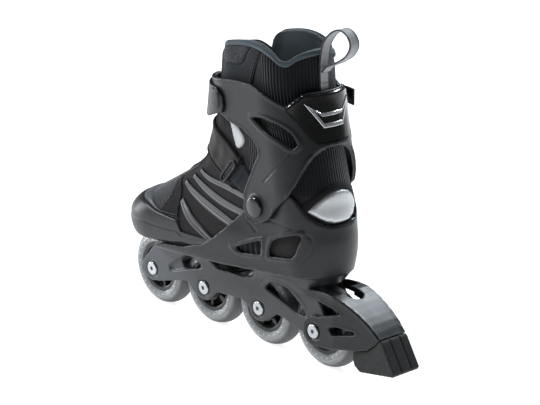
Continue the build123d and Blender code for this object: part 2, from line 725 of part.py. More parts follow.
with BuildPart() as lever_pin:
    upright_pin(LEVER_PIN, LEVER_PIN_RADIUS, BASE_LOW - PIN_HEAD, BASE_HIGH + PIN_HEAD)
save(lever_pin, "lever_pin")

with BuildPart() as release_pawl:
    plan_prism(PAWL_PLAN, TAIL_LOW + 0.8, TAIL_HIGH - 0.5)
    plan_prism(PAWL_TAB_PLAN, TAIL_HIGH - 1, BASE_HIGH + 1.5)
    upright_pin(PAWL_PIN, PAWL_PIN_RADIUS + RUN_FIT, BASE_LOW, BASE_HIGH, mode=Mode.SUBTRACT)
save(release_pawl, "release_pawl")

with BuildPart() as pawl_pin:
    upright_pin(PAWL_PIN, PAWL_PIN_RADIUS, BASE_LOW - PIN_HEAD, BASE_HIGH + PIN_HEAD)
save(pawl_pin, "pawl_pin")

# ---------------------------------------------------------------- pull loop
LOOP_WIDTH = 12
LOOP_THICK = 1.4
LOOP_PATH = [
    (-110.4, 262), (-109.3, 284), (-109.5, 294), (-113, 310), (-122, 321), (-133, 326), (-143, 323),
    (-148, 314), (-143, 304), (-131, 296), (-118, 290), (-112, 284),
]
with BuildPart() as pull_loop:
    with BuildLine(Plane.XZ) as loop_path:
        Spline(*LOOP_PATH)
    with BuildSketch(Plane(origin=loop_path.line @ 0, x_dir=(0, 1, 0), z_dir=loop_path.line % 0)) as webbing:
        Rectangle(LOOP_WIDTH, LOOP_THICK)
    sweep(webbing.sketch, path=loop_path.line)
save(pull_loop, "pull_loop")

# ---------------------------------------------------------------- heel brake
ARM_SIDE = [
    (-112, 70), (-112, 78), (-117, 80.5), (-126, 81.8), (-135, 82), (-147, 81.3), (-158, 78.5), (-167, 75.2),
    (-175, 71.5), (-183, 67.2), (-190, 62.6), (-196.5, 57.2), (-202, 52), (-196, 45), (-187, 38), (-174, 34),
    (-158, 31), (-136, 27), (-121, 27), (-115, 40), (-120, 52),
]
ARM_NOTCH = [
    (-100, 72), (-126, 72), (-148, 69), (-156.5, 67), (-155, 64.5), (-135, 58.5), (-127, 55.5), (-100, 55.5),
]
ARM_WINDOW = [(-141, 49), (-152, 52), (-172, 52), (-173, 49.5), (-147, 42.5)]
ARM_PLAN = [(-100, 23.2), (-148, 23.2), (-203, 17), (-203, -17), (-148, -23.2), (-100, -23.2)]
ARM_WINDOW_ROUND = 0.8
ARM_LOW = 20
ARM_HIGH = 95
FIT_GAP = 0.15
ARM_INNER = RAIL_OUT + FIT_GAP
ARM_LOBE = 14.5
ARM_SEAT = 21.6
ARM_NUT_FACE = 23.4
RAIL_END = -137
SLOT_SIZE = (34, 18)
SLOT_X = -143
SLOT_LOW = 60
PAD_SIDE = [
    (-168.5, 32.7), (-174, 33.7), (-187.2, 37.7), (-196.2, 44.7), (-202.2, 51.4), (-205, 50), (-221, 23.5),
    (-219, 20.5), (-177, 13.5), (-170, 18), (-167.5, 25),
]
PAD_HALF = 17
SCREW_X = -190
SCREW_LOW = 24
SCREW_HIGH = 50
SCREW_RADIUS = 3
SCREW_HEAD = 5
SCREW_HEAD_HEIGHT = 3
SCREW_SOCKET = 2.3
SCREW_SOCKET_DEPTH = 2

with BuildPart() as brake_arm:
    plan_prism(ARM_PLAN, ARM_LOW, ARM_HIGH)
    with BuildSketch(Plane.XZ) as arm_outline:
        with BuildLine():
            Polyline(*ARM_SIDE, close=True)
        make_face()
        with Locations((REAR_AXLE_X, AXLE_Z)):
            Circle(ARM_LOBE)
    extrude(arm_outline.sketch, amount=WIDE, both=True, mode=Mode.INTERSECT)
    side_prism(ARM_NOTCH, mode=Mode.SUBTRACT)
    side_prism(ARM_WINDOW, mode=Mode.SUBTRACT, radius=ARM_WINDOW_ROUND)
    with Locations((RAIL_END + WIDE / 2, 0, AXLE_Z)):
        Box(WIDE, 2 * ARM_INNER, 2 * WIDE, mode=Mode.SUBTRACT)
    with BuildSketch(Plane.XZ) as rear_well:
        with Locations((REAR_AXLE_X, AXLE_Z)):
            Circle(WELL_RADIUS)
    extrude(rear_well.sketch, amount=RAIL_IN, both=True, mode=Mode.SUBTRACT)
    egg_solid(STEM_LEVELS, FIT_GAP, mode=Mode.SUBTRACT)
    with BuildSketch(Plane.XY.offset(SLOT_LOW)) as top_slot:
        with Locations((SLOT_X, 0)):
            SlotOverall(*SLOT_SIZE)
    extrude(top_slot.sketch, amount=ARM_HIGH - SLOT_LOW, mode=Mode.SUBTRACT)
    with BuildSketch(Plane.XZ) as arm_bore:
        with Locations((REAR_AXLE_X, AXLE_Z)):
            Circle(AXLE_RADIUS + BORE_CLEAR)
    extrude(arm_bore.sketch, amount=WIDE, both=True, mode=Mode.SUBTRACT)
    with BuildSketch(Plane.XZ.offset(-ARM_SEAT)) as arm_recess:
        with Locations((REAR_AXLE_X, AXLE_Z)):
            Circle(BOLT_RECESS_RADIUS)
    extrude(arm_recess.sketch, amount=-RAIL_OUT, mode=Mode.SUBTRACT)
    with BuildSketch(Plane.XZ.offset(ARM_NUT_FACE - NUT_HEIGHT)) as arm_pocket:
        with Locations((REAR_AXLE_X, AXLE_Z)):
            RegularPolygon(NUT_RADIUS, 6)
    extrude(arm_pocket.sketch, amount=RAIL_OUT, mode=Mode.SUBTRACT)
    upright_pin((SCREW_X, 0), SCREW_RADIUS, SCREW_LOW, SCREW_HIGH, mode=Mode.SUBTRACT)
save(brake_arm, "brake_arm")

with BuildPart() as brake_pad:
    side_prism(PAD_SIDE, mode=Mode.ADD, low=-PAD_HALF, high=PAD_HALF)
    upright_pin((SCREW_X, 0), SCREW_HEAD, 0, SCREW_LOW + SCREW_HEAD_HEIGHT, mode=Mode.SUBTRACT)
    upright_pin((SCREW_X, 0), SCREW_RADIUS, SCREW_LOW, SCREW_HIGH, mode=Mode.SUBTRACT)
save(brake_pad, "brake_pad")

with BuildPart() as brake_screw:
    upright_pin((SCREW_X, 0), SCREW_HEAD, SCREW_LOW, SCREW_LOW + SCREW_HEAD_HEIGHT)
    upright_pin((SCREW_X, 0), SCREW_RADIUS, SCREW_LOW, SCREW_HIGH)
    with BuildSketch(Plane.XY.offset(SCREW_LOW)) as screw_socket:
        with Locations((SCREW_X, 0)):
            RegularPolygon(SCREW_SOCKET, 6)
    extrude(screw_socket.sketch, amount=SCREW_SOCKET_DEPTH, mode=Mode.SUBTRACT)
save(brake_screw, "brake_screw")

# ---------------------------------------------------------------- axle bolts and nuts
for index, axle_x in enumerate(AXLE_X, start=1):
    rear = axle_x == REAR_AXLE_X
    seat = ARM_SEAT if rear else BOLT_SEAT
    nut_face = ARM_NUT_FACE if rear else NUT_FACE
    make_axle(axle_x, f"axle_bolt_{index}", seat, nut_face)

with BuildPart() as axle_nuts:
    for axle_x in AXLE_X:
        face = ARM_NUT_FACE if axle_x == REAR_AXLE_X else NUT_FACE
        with BuildSketch(Plane.XZ.offset(face - NUT_HEIGHT)) as nut:
            with Locations((axle_x, AXLE_Z)):
                RegularPolygon(NUT_RADIUS, 6)
                Circle(AXLE_RADIUS + BORE_CLEAR, mode=Mode.SUBTRACT)
        extrude(nut.sketch, amount=NUT_HEIGHT)
save(axle_nuts, "axle_nuts")
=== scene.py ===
"""Looks of the inline skate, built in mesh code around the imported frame.

The helpers take the skate's own millimetres and turn them into Blender's metres at the end.
+X points to the toe, +Y to the inner side of the foot, +Z up.
"""
import math
from collections import Counter

import bmesh
import bpy
import numpy as np
from mathutils import Matrix, Vector
from mathutils.geometry import delaunay_2d_cdt


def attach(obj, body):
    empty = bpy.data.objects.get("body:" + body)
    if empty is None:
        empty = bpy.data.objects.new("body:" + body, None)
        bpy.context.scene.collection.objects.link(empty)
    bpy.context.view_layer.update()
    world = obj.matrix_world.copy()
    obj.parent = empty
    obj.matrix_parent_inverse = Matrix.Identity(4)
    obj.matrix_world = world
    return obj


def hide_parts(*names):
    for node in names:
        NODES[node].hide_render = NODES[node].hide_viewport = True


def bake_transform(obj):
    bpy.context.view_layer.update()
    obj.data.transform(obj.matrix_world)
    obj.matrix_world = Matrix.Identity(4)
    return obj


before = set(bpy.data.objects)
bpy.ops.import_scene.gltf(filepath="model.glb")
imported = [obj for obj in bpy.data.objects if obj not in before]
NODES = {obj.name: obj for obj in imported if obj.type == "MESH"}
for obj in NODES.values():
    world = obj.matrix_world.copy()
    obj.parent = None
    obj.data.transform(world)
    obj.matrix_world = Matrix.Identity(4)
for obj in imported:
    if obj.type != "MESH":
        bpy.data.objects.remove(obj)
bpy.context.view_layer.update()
MM = 0.001

# ---------------------------------------------------------------- shape of the boot
# Height, rear end, heel radius, front end, toe radius, toe centre towards +Y.
LEVELS = np.array([
    (80, -130, 29, 131, 42, 4), (92, -134, 33, 139, 47, 4), (104, -136, 36, 141, 49, 4),
    (116, -137, 38, 137, 48, 4), (126, -137, 38, 125, 43, 4), (134, -136, 38, 108, 38, 3),
    (142, -135, 38, 94, 35, 2), (152, -134, 38, 77, 33, 1), (162, -132, 38, 61, 32, 0),
    (172, -131, 38, 46, 31, 0), (184, -128, 37.5, 36, 31, 0), (200, -124, 37, 28, 32, 0),
    (220, -119, 37, 22, 34, 0), (240, -114, 38, 18, 36, 0), (260, -110, 39, 15, 37, 0),
    (285, -107, 39, 12, 38, 0), (312, -105.5, 39, 10, 38, 0),
], float)
RIM = np.array([
    (-116, 302), (-107, 301), (-99, 297), (-92, 291), (-86, 292), (-78, 298), (-66, 303), (-50, 305),
    (-30, 303), (-14, 299), (2, 290), (14, 281),
], float)
SOLE = np.array([(-130, 98), (120, 85)], float)
PIVOT = (-66, 154)
BOOT_MIDDLE, INSTEP_MIDDLE, RIM_MIDDLE = 150.0, 195.0, 295.0
AXLES_X = [121.5, 40.5, -40.5, -121.5]
AXLE_Z = 40


def smooth_curve(at, knots, values):
    """Cubic through the knots, with the slopes of their neighbours."""
    slopes = np.gradient(values, knots)
    at = np.clip(at, knots[0], knots[-1])
    i = np.clip(np.searchsorted(knots, at) - 1, 0, len(knots) - 2)
    span = knots[i + 1] - knots[i]
    t = (at - knots[i]) / span
    rise = values[i + 1] - values[i]
    bend = span * (slopes[i] * (1 - t) - slopes[i + 1] * t) - rise * (1 - 2 * t)
    return values[i] + rise * t + t * (1 - t) * bend


def egg(z):
    """Heel centre, heel radius, toe centre (x, y) and toe radius at a height."""
    rear, heel_r, front, toe_r, toe_y = (smooth_curve(z, LEVELS[:, 0], LEVELS[:, k]) for k in range(1, 6))
    return rear + heel_r, heel_r, front - toe_r, toe_y, toe_r


def egg_angles(z):
    heel_x, heel_r, toe_x, toe_y, toe_r = egg(z)
    lean = np.arctan2(toe_y, toe_x - heel_x)
    spread = np.arccos((heel_r - toe_r) / np.hypot(toe_x - heel_x, toe_y))
    return lean, spread


def ring_point(u, z, grow):
    """Point of the grown outline: u runs 0-1 round the toe, 1-2 back along the inner side, 2-3 round the heel
    and 3-4 forwards along the outer side."""
    heel_x, heel_r, toe_x, toe_y, toe_r = egg(z)
    lean, spread = egg_angles(z)
    part = np.floor(u) % 4
    t = u - np.floor(u)
    toe_angle = lean + spread * (2 * t - 1)
    heel_angle = lean + spread + (2 * np.pi - 2 * spread) * t
    parts = [part == 0, part == 1, part == 2]
    angle = np.select(parts, [toe_angle, lean + spread, heel_angle], lean - spread)
    share = np.select(parts, [0 * t, t, 0 * t + 1], 1 - t)
    x = toe_x + (heel_x - toe_x) * share + (toe_r + (heel_r - toe_r) * share + grow) * np.cos(angle)
    y = toe_y * (1 - share) + (toe_r + (heel_r - toe_r) * share + grow) * np.sin(angle)
    return x, y


def settle(u, z, height, keep=0.5, rounds=14):
    """Heights at the columns u that equal height(u, x) at the outline's own x. keep slows each round down."""
    for _ in range(rounds):
        x = ring_point(u, z, 0)[0]
        z = keep * z + (1 - keep) * height(u, x)
    return z


def side_y(x, z, grow, side):
    """How far out the grown boot is at a side-view point."""
    heel_x, heel_r, toe_x, toe_y, toe_r = egg(z)
    lean, spread = egg_angles(z)
    turn = lean + side * spread
    heel_r, toe_r = heel_r + grow, toe_r + grow
    low_x, low_y = heel_x + heel_r * np.cos(turn), heel_r * np.sin(turn)
    high_x, high_y = toe_x + toe_r * np.cos(turn), toe_y + toe_r * np.sin(turn)
    line = low_y + (high_y - low_y) * (x - low_x) / (high_x - low_x)
    heel = side * np.sqrt(np.maximum(heel_r ** 2 - (x - heel_x) ** 2, 0))
    toe = toe_y + side * np.sqrt(np.maximum(toe_r ** 2 - (x - toe_x) ** 2, 0))
    return np.where(x < low_x, heel, np.where(x > high_x, toe, line))


def on_side(points, grow, side):
    """Side-view points laid on the grown boot."""
    p = np.array(points, float)
    return np.column_stack([p[:, 0], side_y(p[:, 0], p[:, 1], grow, side), p[:, 1]])


def on_rear(points, grow):
    """Rear-view points (Y, Z) laid on the grown boot's heel side."""
    p = np.array(points, float)
    heel_x, heel_r = egg(p[:, 1])[:2]
    x = heel_x - np.sqrt(np.maximum((heel_r + grow) ** 2 - p[:, 0] ** 2, 0))
    return np.column_stack([x, p[:, 0], p[:, 1]])


def ramp(value, low, high):
    """Smooth step from 0 at low to 1 at high."""
    t = np.clip((np.asarray(value, float) - low) / (high - low), 0, 1)
    return t * t * (3 - 2 * t)


def through(points, per=8, closed=False):
    """Smooth line through the points."""
    p = np.array(points, float)
    if closed:
        p = np.vstack([p[-1], p, p[0], p[1]])
    else:
        p = np.vstack([2 * p[0] - p[1], p, 2 * p[-1] - p[-2]])
    out = []
    for i in range(1, len(p) - 2):
        for t in np.arange(per) / per:
            a, b, c, d = p[i - 1:i + 3]
            out.append(b + 0.5 * t * (c - a + t * (2 * a - 5 * b + 4 * c - d + t * (3 * (b - c) + d - a))))
    if not closed:
        out.append(p[-2])
    return np.array(out)


def line_distance(points, line, closed=False):
    """Distance of each 2-D point from a line of points."""
    line = np.array(line, float)
    ends = np.roll(line, -1, 0) if closed else line[1:]
    best = np.full(len(points), 1e9)
    for a, b in zip(line, ends):
        d = b - a
        t = np.clip(((points - a) @ d) / max(d @ d, 1e-9), 0, 1)
        best = np.minimum(best, np.hypot(*(points - a - t[:, None] * d).T))
    return best


def inside(points, outline):
    """Which 2-D points are inside an outline."""
    outline = np.array(outline, float)
    found = np.zeros(len(points), bool)
    for a, b in zip(outline, np.roll(outline, -1, 0)):
        crosses = (a[1] > points[:, 1]) != (b[1] > points[:, 1])
        if a[1] != b[1]:
            x = a[0] + (points[:, 1] - a[1]) * (b[0] - a[0]) / (b[1] - a[1])
            found ^= crosses & (points[:, 0] < x)
    return found


# ---------------------------------------------------------------- mesh helpers
# Angles in degrees above which an edge is shaded sharp.
SEWN_SHARP, MOULDED_SHARP, TURNED_SHARP = 60, 80, 30


def link(name, mesh):
    piece = bpy.data.objects.new(name, mesh)
    bpy.context.scene.collection.objects.link(piece)
    return piece


def finish_mesh(mesh, sharp=50):
    work = bmesh.new()
    work.from_mesh(mesh)
    bmesh.ops.recalc_face_normals(work, faces=work.faces)
    work.to_mesh(mesh)
    work.free()
    mesh.shade_smooth()
    mesh.set_sharp_from_angle(angle=math.radians(sharp))


def new_piece(name, points, faces, flat=None, sharp=50):
    """Mesh from points in millimetres, with flat (along, across) coordinates in millimetres as its UVs."""
    mesh = bpy.data.meshes.new(name)
    mesh.from_pydata((np.asarray(points) * MM).tolist(), [], [list(f) for f in faces])
    if flat is not None:
        layer = mesh.uv_layers.new(name="flat")
        corners = np.zeros(len(mesh.loops), int)
        mesh.loops.foreach_get("vertex_index", corners)
        layer.data.foreach_set("uv", (np.asarray(flat)[corners] * MM).astype(np.float32).ravel())
    finish_mesh(mesh, sharp)
    return link(name, mesh)


def grid_faces(rows, cols, start=0, wrap=False):
    last = cols if wrap else cols - 1
    i, j = np.meshgrid(np.arange(rows - 1), np.arange(last), indexing="ij")
    k = (j + 1) % cols
    quads = np.stack([i * cols + j, i * cols + k, (i + 1) * cols + k, (i + 1) * cols + j], -1)
    return (quads.reshape(-1, 4) + start).tolist()


def closed_faces(rows, cols):
    """Faces of a grid that is closed both ways, such as a ring."""
    i, j = np.meshgrid(np.arange(rows), np.arange(cols), indexing="ij")
    k, m = (i + 1) % rows, (j + 1) % cols
    return np.stack([i * cols + j, i * cols + m, k * cols + m, k * cols + j], -1).reshape(-1, 4).tolist()


def slab(name, outer, inner, flat=None, sharp=50):
    """Closed piece between two grids of points."""
    rows, cols = outer.shape[:2]
    count = rows * cols
    faces = grid_faces(rows, cols) + grid_faces(rows, cols, count)
    edge = [j for j in range(cols)] + [i * cols + cols - 1 for i in range(1, rows)]
    edge += [(rows - 1) * cols + j for j in range(cols - 2, -1, -1)]
    edge += [i * cols for i in range(rows - 2, 0, -1)]
    for a, b in zip(edge, edge[1:] + edge[:1]):
        faces.append([a, b, b + count, a + count])
    points = np.vstack([outer.reshape(-1, 3), inner.reshape(-1, 3)])
    flat = None if flat is None else np.vstack([flat.reshape(-1, 2)] * 2)
    return new_piece(name, points, faces, flat, sharp)


def band(name, columns, low, high, rows, outer, inner, sharp=50):
    """Closed piece on the boot between two side-view edges, given as heights over x. outer and inner give the
    growth from (along, across) shares."""
    v = np.linspace(0, 1, rows)[:, None] * np.ones(len(columns))
    u = columns[None, :] * np.ones((rows, 1))
    z = 0.5 * (low(np.zeros_like(u)) + high(np.zeros_like(u)))
    z = settle(u, z, lambda u, x: low(x) + (high(x) - low(x)) * v, rounds=12)
    share = np.linspace(0, 1, len(columns))[None, :] * np.ones((rows, 1))
    skins = []
    for grow in (outer(share, v), inner(share, v)):
        x, y = ring_point(u, z, grow)
        skins.append(np.stack([x, y, z], -1))
    step = np.linalg.norm(np.diff(skins[0], axis=1), axis=2).mean(0)
    along = np.concatenate([[0], np.cumsum(step)])[None, :] * np.ones((rows, 1))
    return slab(name, skins[0], skins[1], np.stack([along, z], -1), sharp)


def patch(name, outline, place, outer, inner, spacing=1.6, soft=1.2):
    """Closed raised patch: a flat outline laid on the boot by place(points, growth)."""
    outline = np.array(outline, float)
    low, high = outline.min(0), outline.max(0)
    xs, zs = np.arange(low[0], high[0], spacing), np.arange(low[1], high[1], spacing)
    seeds = np.stack(np.meshgrid(xs, zs), -1).reshape(-1, 2)
    seeds = seeds[inside(seeds, outline)]
    seeds = seeds[line_distance(seeds, outline, True) > 0.5 * spacing]
    verts = [Vector(p) for p in np.vstack([outline, seeds])]
    loop = [(i, (i + 1) % len(outline)) for i in range(len(outline))]
    flat, _, faces = delaunay_2d_cdt(verts, loop, [], 1, 1e-5)[:3]
    flat = np.array([tuple(p) for p in flat])
    rise = ramp(line_distance(flat, outline, True), -0.3 * soft, soft)
    top = place(flat, inner + (outer - inner) * rise)
    bottom = place(flat, np.full(len(flat), float(inner)))
    count = len(flat)
    uses = Counter((min(pair), max(pair)) for f in faces for pair in zip(f, f[1:] + f[:1]))
    sheets = [list(f) for f in faces] + [[i + count for i in f] for f in faces]
    sheets += [[a, b, b + count, a + count] for (a, b), n in uses.items() if n == 1]
    return new_piece(name, np.vstack([top, bottom]), sheets, np.vstack([flat, flat]), SEWN_SHARP)


def strip(name, centre, widths, place, profile, inner, across=9, per=8):
    """Closed strip along a flat centre line; profile gives the growth across it, from -1 to 1."""
    line = through(centre, per)
    width = np.interp(np.linspace(0, 1, len(line)), np.linspace(0, 1, len(widths)), widths)
    run = np.gradient(line, axis=0)
    run /= np.linalg.norm(run, axis=1)[:, None]
    normal = np.column_stack([-run[:, 1], run[:, 0]])
    t = np.linspace(-1, 1, across)
    flat = line[None] + t[:, None, None] * (width / 2)[None, :, None] * normal[None]
    ends = np.linspace(0, 1, len(line))
    fade = ramp(ends, -0.01, 0.03) * ramp(1 - ends, -0.01, 0.03)
    grow = inner + (profile(t)[:, None] - inner) * fade[None, :]
    outer = place(flat.reshape(-1, 2), grow.ravel()).reshape(across, -1, 3)
    under = place(flat.reshape(-1, 2), np.full(grow.size, float(inner))).reshape(across, -1, 3)
    length = np.concatenate([[0], np.cumsum(np.linalg.norm(np.diff(line, axis=0), axis=1))])
    uv = np.stack(np.broadcast_arrays(length[None, :], t[:, None] * 10), -1)
    return slab(name, outer, under, uv, SEWN_SHARP)


def curve_mesh(name, lines, radius, sides=3):
    """Round tubes along lines of points, as one mesh."""
    data = bpy.data.curves.new(name, "CURVE")
    data.dimensions = "3D"
    data.bevel_depth = radius * MM
    data.bevel_resolution = sides
    data.use_fill_caps = True
    for line in lines:
        spline = data.splines.new("POLY")
        spline.points.add(len(line) - 1)
        spline.points.foreach_set("co", np.column_stack([line * MM, np.ones(len(line))]).ravel())
    holder = link(name, data)
    mesh = bpy.data.meshes.new_from_object(holder.evaluated_get(bpy.context.evaluated_depsgraph_get()))
    bpy.data.objects.remove(holder)
    bpy.data.curves.remove(data)
    mesh.name = name
    finish_mesh(mesh, SEWN_SHARP)
    return link(name, mesh)


def stitches(name, line, normal_lift=0.35, length=2.6, gap=1.5, radius=0.32):
    """A row of thread stitches that dip into the cloth at their ends."""
    steps = np.linalg.norm(np.diff(line, axis=0), axis=1)
    along = np.concatenate([[0], np.cumsum(steps)])
    rows = []
    for start in np.arange(0.5, along[-1] - length, length + gap):
        at = start + length * np.array([0, 0.25, 0.75, 1])
        p = np.column_stack([np.interp(at, along, line[:, k]) for k in range(3)])
        out = p.copy()
        out[:, :2] -= np.array([-30, 0])
        out[:, 2] = 0
        out /= np.linalg.norm(out, axis=1)[:, None]
        p += out * (np.array([-0.3, 1, 1, -0.3]) * normal_lift)[:, None]
        rows.append(p)
    return curve_mesh(name, rows, radius, sides=1)


def coordinates(mesh):
    co = np.zeros(len(mesh.vertices) * 3)
    mesh.vertices.foreach_get("co", co)
    return co.reshape(-1, 3) / MM


def vertex_normals(mesh):
    normals = np.zeros(len(mesh.vertices) * 3)
    mesh.vertex_normals.foreach_get("vector", normals)
    return normals.reshape(-1, 3)


def move_to(mesh, co):
    mesh.vertices.foreach_set("co", (co * MM).astype(np.float32).ravel())
    mesh.update()


SMOOTH_STEPS = (0.52, -0.54)  # a step in and a slightly longer step out, which keeps the size


def relax(mesh, rounds):
    """Smooths a mesh without shrinking it."""
    co = coordinates(mesh)
    pairs = np.zeros(len(mesh.edges) * 2, int)
    mesh.edges.foreach_get("vertices", pairs)
    a, b = pairs.reshape(-1, 2).T
    ends = np.concatenate([a, b])
    count = np.bincount(ends, minlength=len(co))[:, None]
    for step in range(2 * rounds):
        total = np.column_stack([
            np.bincount(ends, np.concatenate([co[b, k], co[a, k]]), len(co)) for k in range(3)
        ])
        co = co + SMOOTH_STEPS[step % 2] * (total / count - co)
    move_to(mesh, co)


def moulded(name, node, voxel, rounds):
    """Copy of a CAD node with moulded, rounded edges, which stands for the node."""
    holder = link(name, NODES[node].data.copy())
    change = holder.modifiers.new("rounded", "REMESH")
    change.mode = "VOXEL"
    change.voxel_size = voxel * MM
    change.adaptivity = 0
    mesh = bpy.data.meshes.new_from_object(holder.evaluated_get(bpy.context.evaluated_depsgraph_get()))
    bpy.data.objects.remove(holder)
    mesh.name = name
    mesh.materials.clear()
    relax(mesh, rounds)
    finish_mesh(mesh, MOULDED_SHARP)
    piece = link(name, mesh)
    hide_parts(node)
    return piece


def press(piece, line, width, depth, closed=False):
    """Groove (depth below zero) or ridge (above) along a side-view line, on the outward-facing skin."""
    co, normals = coordinates(piece.data), vertex_normals(piece.data)
    keep = normals[:, 1] * np.sign(co[:, 1]) > 0.25
    points = co[keep][:, [0, 2]]
    shape = np.clip(1 - line_distance(points, through(line, 6, closed), closed) / width, 0, 1)
    co[keep] += normals[keep] * (depth * shape)[:, None]
    move_to(piece.data, co)


# ---------------------------------------------------------------- materials
class Look:
    """A node material on the Principled shader, laid out in the skate's own space or by flat coordinates."""

    def __init__(self, name, colour, roughness, metallic=0.0, source="Object"):
        self.material = bpy.data.materials.new(name)
        self.material.use_nodes = True
        self.tree = self.material.node_tree
        self.shader = self.tree.nodes["Principled BSDF"]
        self.shader.inputs["Base Color"].default_value = (*colour, 1)
        self.shader.inputs["Roughness"].default_value = roughness
        self.shader.inputs["Metallic"].default_value = metallic
        self.place = self.tree.nodes.new("ShaderNodeTexCoord").outputs[source]
        self.height = None

    def node(self, kind, inputs=(), **settings):
        made = self.tree.nodes.new("ShaderNode" + kind)
        for key, value in settings.items():
            setattr(made, key, value)
        for key, value in dict(inputs).items():
            if hasattr(value, "links"):
                self.tree.links.new(value, made.inputs[key])
            else:
                made.inputs[key].default_value = value
        return made

    def fix(self, **sockets):
        """Sets the shader's own values, by socket name with _ for a space."""
        for key, value in sockets.items():
            self.shader.inputs[key.replace("_", " ")].default_value = value

    def join(self, output, socket):
        self.tree.links.new(output, self.shader.inputs[socket])

    def maths(self, operation, a, b=0.0, clamp=False):
        return self.node("Math", {0: a, 1: b}, operation=operation, use_clamp=clamp).outputs[0]

    def stretched(self, x, y, z):
        return self.node("Mapping", {"Vector": self.place, "Scale": (x, y, z)}).outputs["Vector"]

    def axis(self, which):
        return self.node("SeparateXYZ", {0: self.place}).outputs[which]

    def noise(self, size, detail=3.0, where=None, rough=0.55):
        """Noise with features about size millimetres across."""
        return self.node("TexNoise", {
            "Vector": where or self.place, "Scale": 1 / (size * MM), "Detail": detail, "Roughness": rough,
        }).outputs["Fac"]

    def cells(self, size):
        return self.node("TexVoronoi", {"Vector": self.place, "Scale": 1 / (size * MM)}).outputs["Distance"]

    def wave(self, coordinate, period, phase=0.0):
        """0 to 1 to 0 once every period millimetres."""
        turn = self.maths("MULTIPLY", coordinate, 2 * math.pi / (period * MM))
        return self.half(self.maths("SINE", self.maths("ADD", turn, phase)))

    def half(self, value):
        return self.maths("ADD", self.maths("MULTIPLY", value, 0.5), 0.5)

    def span(self, value, low, high, start=0.0, end=1.0):
        """value from low to high becomes start to end."""
        return self.node("MapRange", {
            "Value": value, "From Min": low, "From Max": high, "To Min": start, "To Max": end,
        }).outputs[0]

    def colours(self, factor, first, second):
        mixed = self.node("Mix", {0: factor, 6: (*first, 1), 7: (*second, 1)}, data_type="RGBA")
        return mixed.outputs[2]

    def blend(self, factor, first, second):
        """Mixes two colour outputs."""
        return self.node("Mix", {0: factor, 6: first, 7: second}, data_type="RGBA").outputs[2]

    def paint(self, factor, first, second):
        self.join(self.colours(factor, first, second), "Base Color")

    def rough(self, factor, low, high):
        self.join(self.span(factor, 0, 1, low, high), "Roughness")

    def bump(self, height, depth):
        """Adds a bump of depth millimetres."""
        self.height = self.maths("MULTIPLY", height, depth) if self.height is None else \
            self.maths("ADD", self.height, self.maths("MULTIPLY", height, depth))

    def done(self):
        if self.height is not None:
            bump = self.node("Bump", {"Height": self.height, "Distance": MM, "Strength": 1.0})
            self.join(bump.outputs["Normal"], "Normal")
        return self.material


def tint(colour, by):
    return tuple(c * by for c in colour)


# Painted light on the lower shell and frame, in millimetres: it starts at the first height, is full at the
# second, and turns lighter still from x 0 to the third value.
PAINTED_LIGHT_TOP, PAINTED_LIGHT_LOW, PAINTED_LIGHT_FRONT = 94, 66, 110


def plastic(name, colour, roughness, grain=0.03, wear=0.5, gloss=0.0, painted_light=0.0):
    """Moulded plastic: fine spark-eroded grain, faint flow marks, edges worn lighter. The last argument is
    painted
    light: it lightens the lower part, the frame, most of all towards the toe, where the lamps light it more."""
    look = Look(name, colour, roughness)
    flow = look.noise(38, 4)
    fine = look.noise(0.55, 2)
    edge = look.span(look.node("NewGeometry").outputs["Pointiness"], 0.505, 0.56)
    scuffed = look.maths("MULTIPLY", edge, look.span(look.noise(5, 4), 0.35, 0.65, 0.3, 1))
    base = look.colours(look.span(flow, 0.3, 0.7), tint(colour, 0.86), tint(colour, 1.14))
    wear_and_painted_light = look.blend(look.maths("MULTIPLY", scuffed, wear, True), base, (*tint(colour, 2.6), 1))
    # Painted light: the lower part turns lighter, and lighter still towards the toe, where the lamps and the
    # floor light the frame.
    if painted_light:
        low = look.span(look.axis(2), PAINTED_LIGHT_TOP * MM, PAINTED_LIGHT_LOW * MM, 0, painted_light)
        front = look.span(look.axis(0), 0, PAINTED_LIGHT_FRONT * MM)
        rear_painted_light = look.colours(look.noise(11, 4), tint(colour, 2.4), tint(colour, 4.0))
        front_painted_light = look.colours(look.noise(11, 4), tint(colour, 4.6), tint(colour, 6.6))
        wear_and_painted_light = look.blend(low, wear_and_painted_light, look.blend(front, rear_painted_light, front_painted_light))
    look.join(wear_and_painted_light, "Base Color")
    look.rough(look.noise(9, 4), roughness - 0.07, roughness + 0.09)
    look.bump(fine, grain)
    look.bump(look.noise(14, 2), 0.12)
    look.fix(Specular_IOR_Level=0.36, Coat_Weight=gloss, Coat_Roughness=0.12)
    return look.done()


def cloth(name, colour, pitch=0.9, contrast=0.35, depth=0.12, sheen=0.35, roughness=0.85, heather=0.0):
    """Woven cloth: over-and-under threads, slight colour drift and fuzz."""
    look = Look(name, colour, roughness)
    across = look.maths("ADD", look.axis(0), look.maths("MULTIPLY", look.axis(1), 0.71))
    weave = look.maths("MULTIPLY", look.wave(across, pitch), look.wave(look.axis(2), pitch))
    slow = look.maths("MULTIPLY", look.noise(16, 3), 0.6)
    drift = look.maths("ADD", slow, look.maths("MULTIPLY", weave, 0.5))
    if heather:
        drift = look.maths("ADD", drift, look.span(look.noise(1.4, 2), 0.35, 0.7, -heather, heather))
    drift = look.maths("MULTIPLY", drift, 1.0, True)
    look.paint(drift, tint(colour, 1 - contrast), tint(colour, 1 + 2 * contrast))
    look.bump(weave, depth)
    look.bump(look.noise(0.8, 2), depth)
    look.fix(
        Sheen_Weight=sheen,
        Sheen_Roughness=0.4,
        Sheen_Tint=(*[min(1, 0.5 + 3 * c) for c in colour], 1),
        Specular_IOR_Level=0.25,
    )
    return look.done()


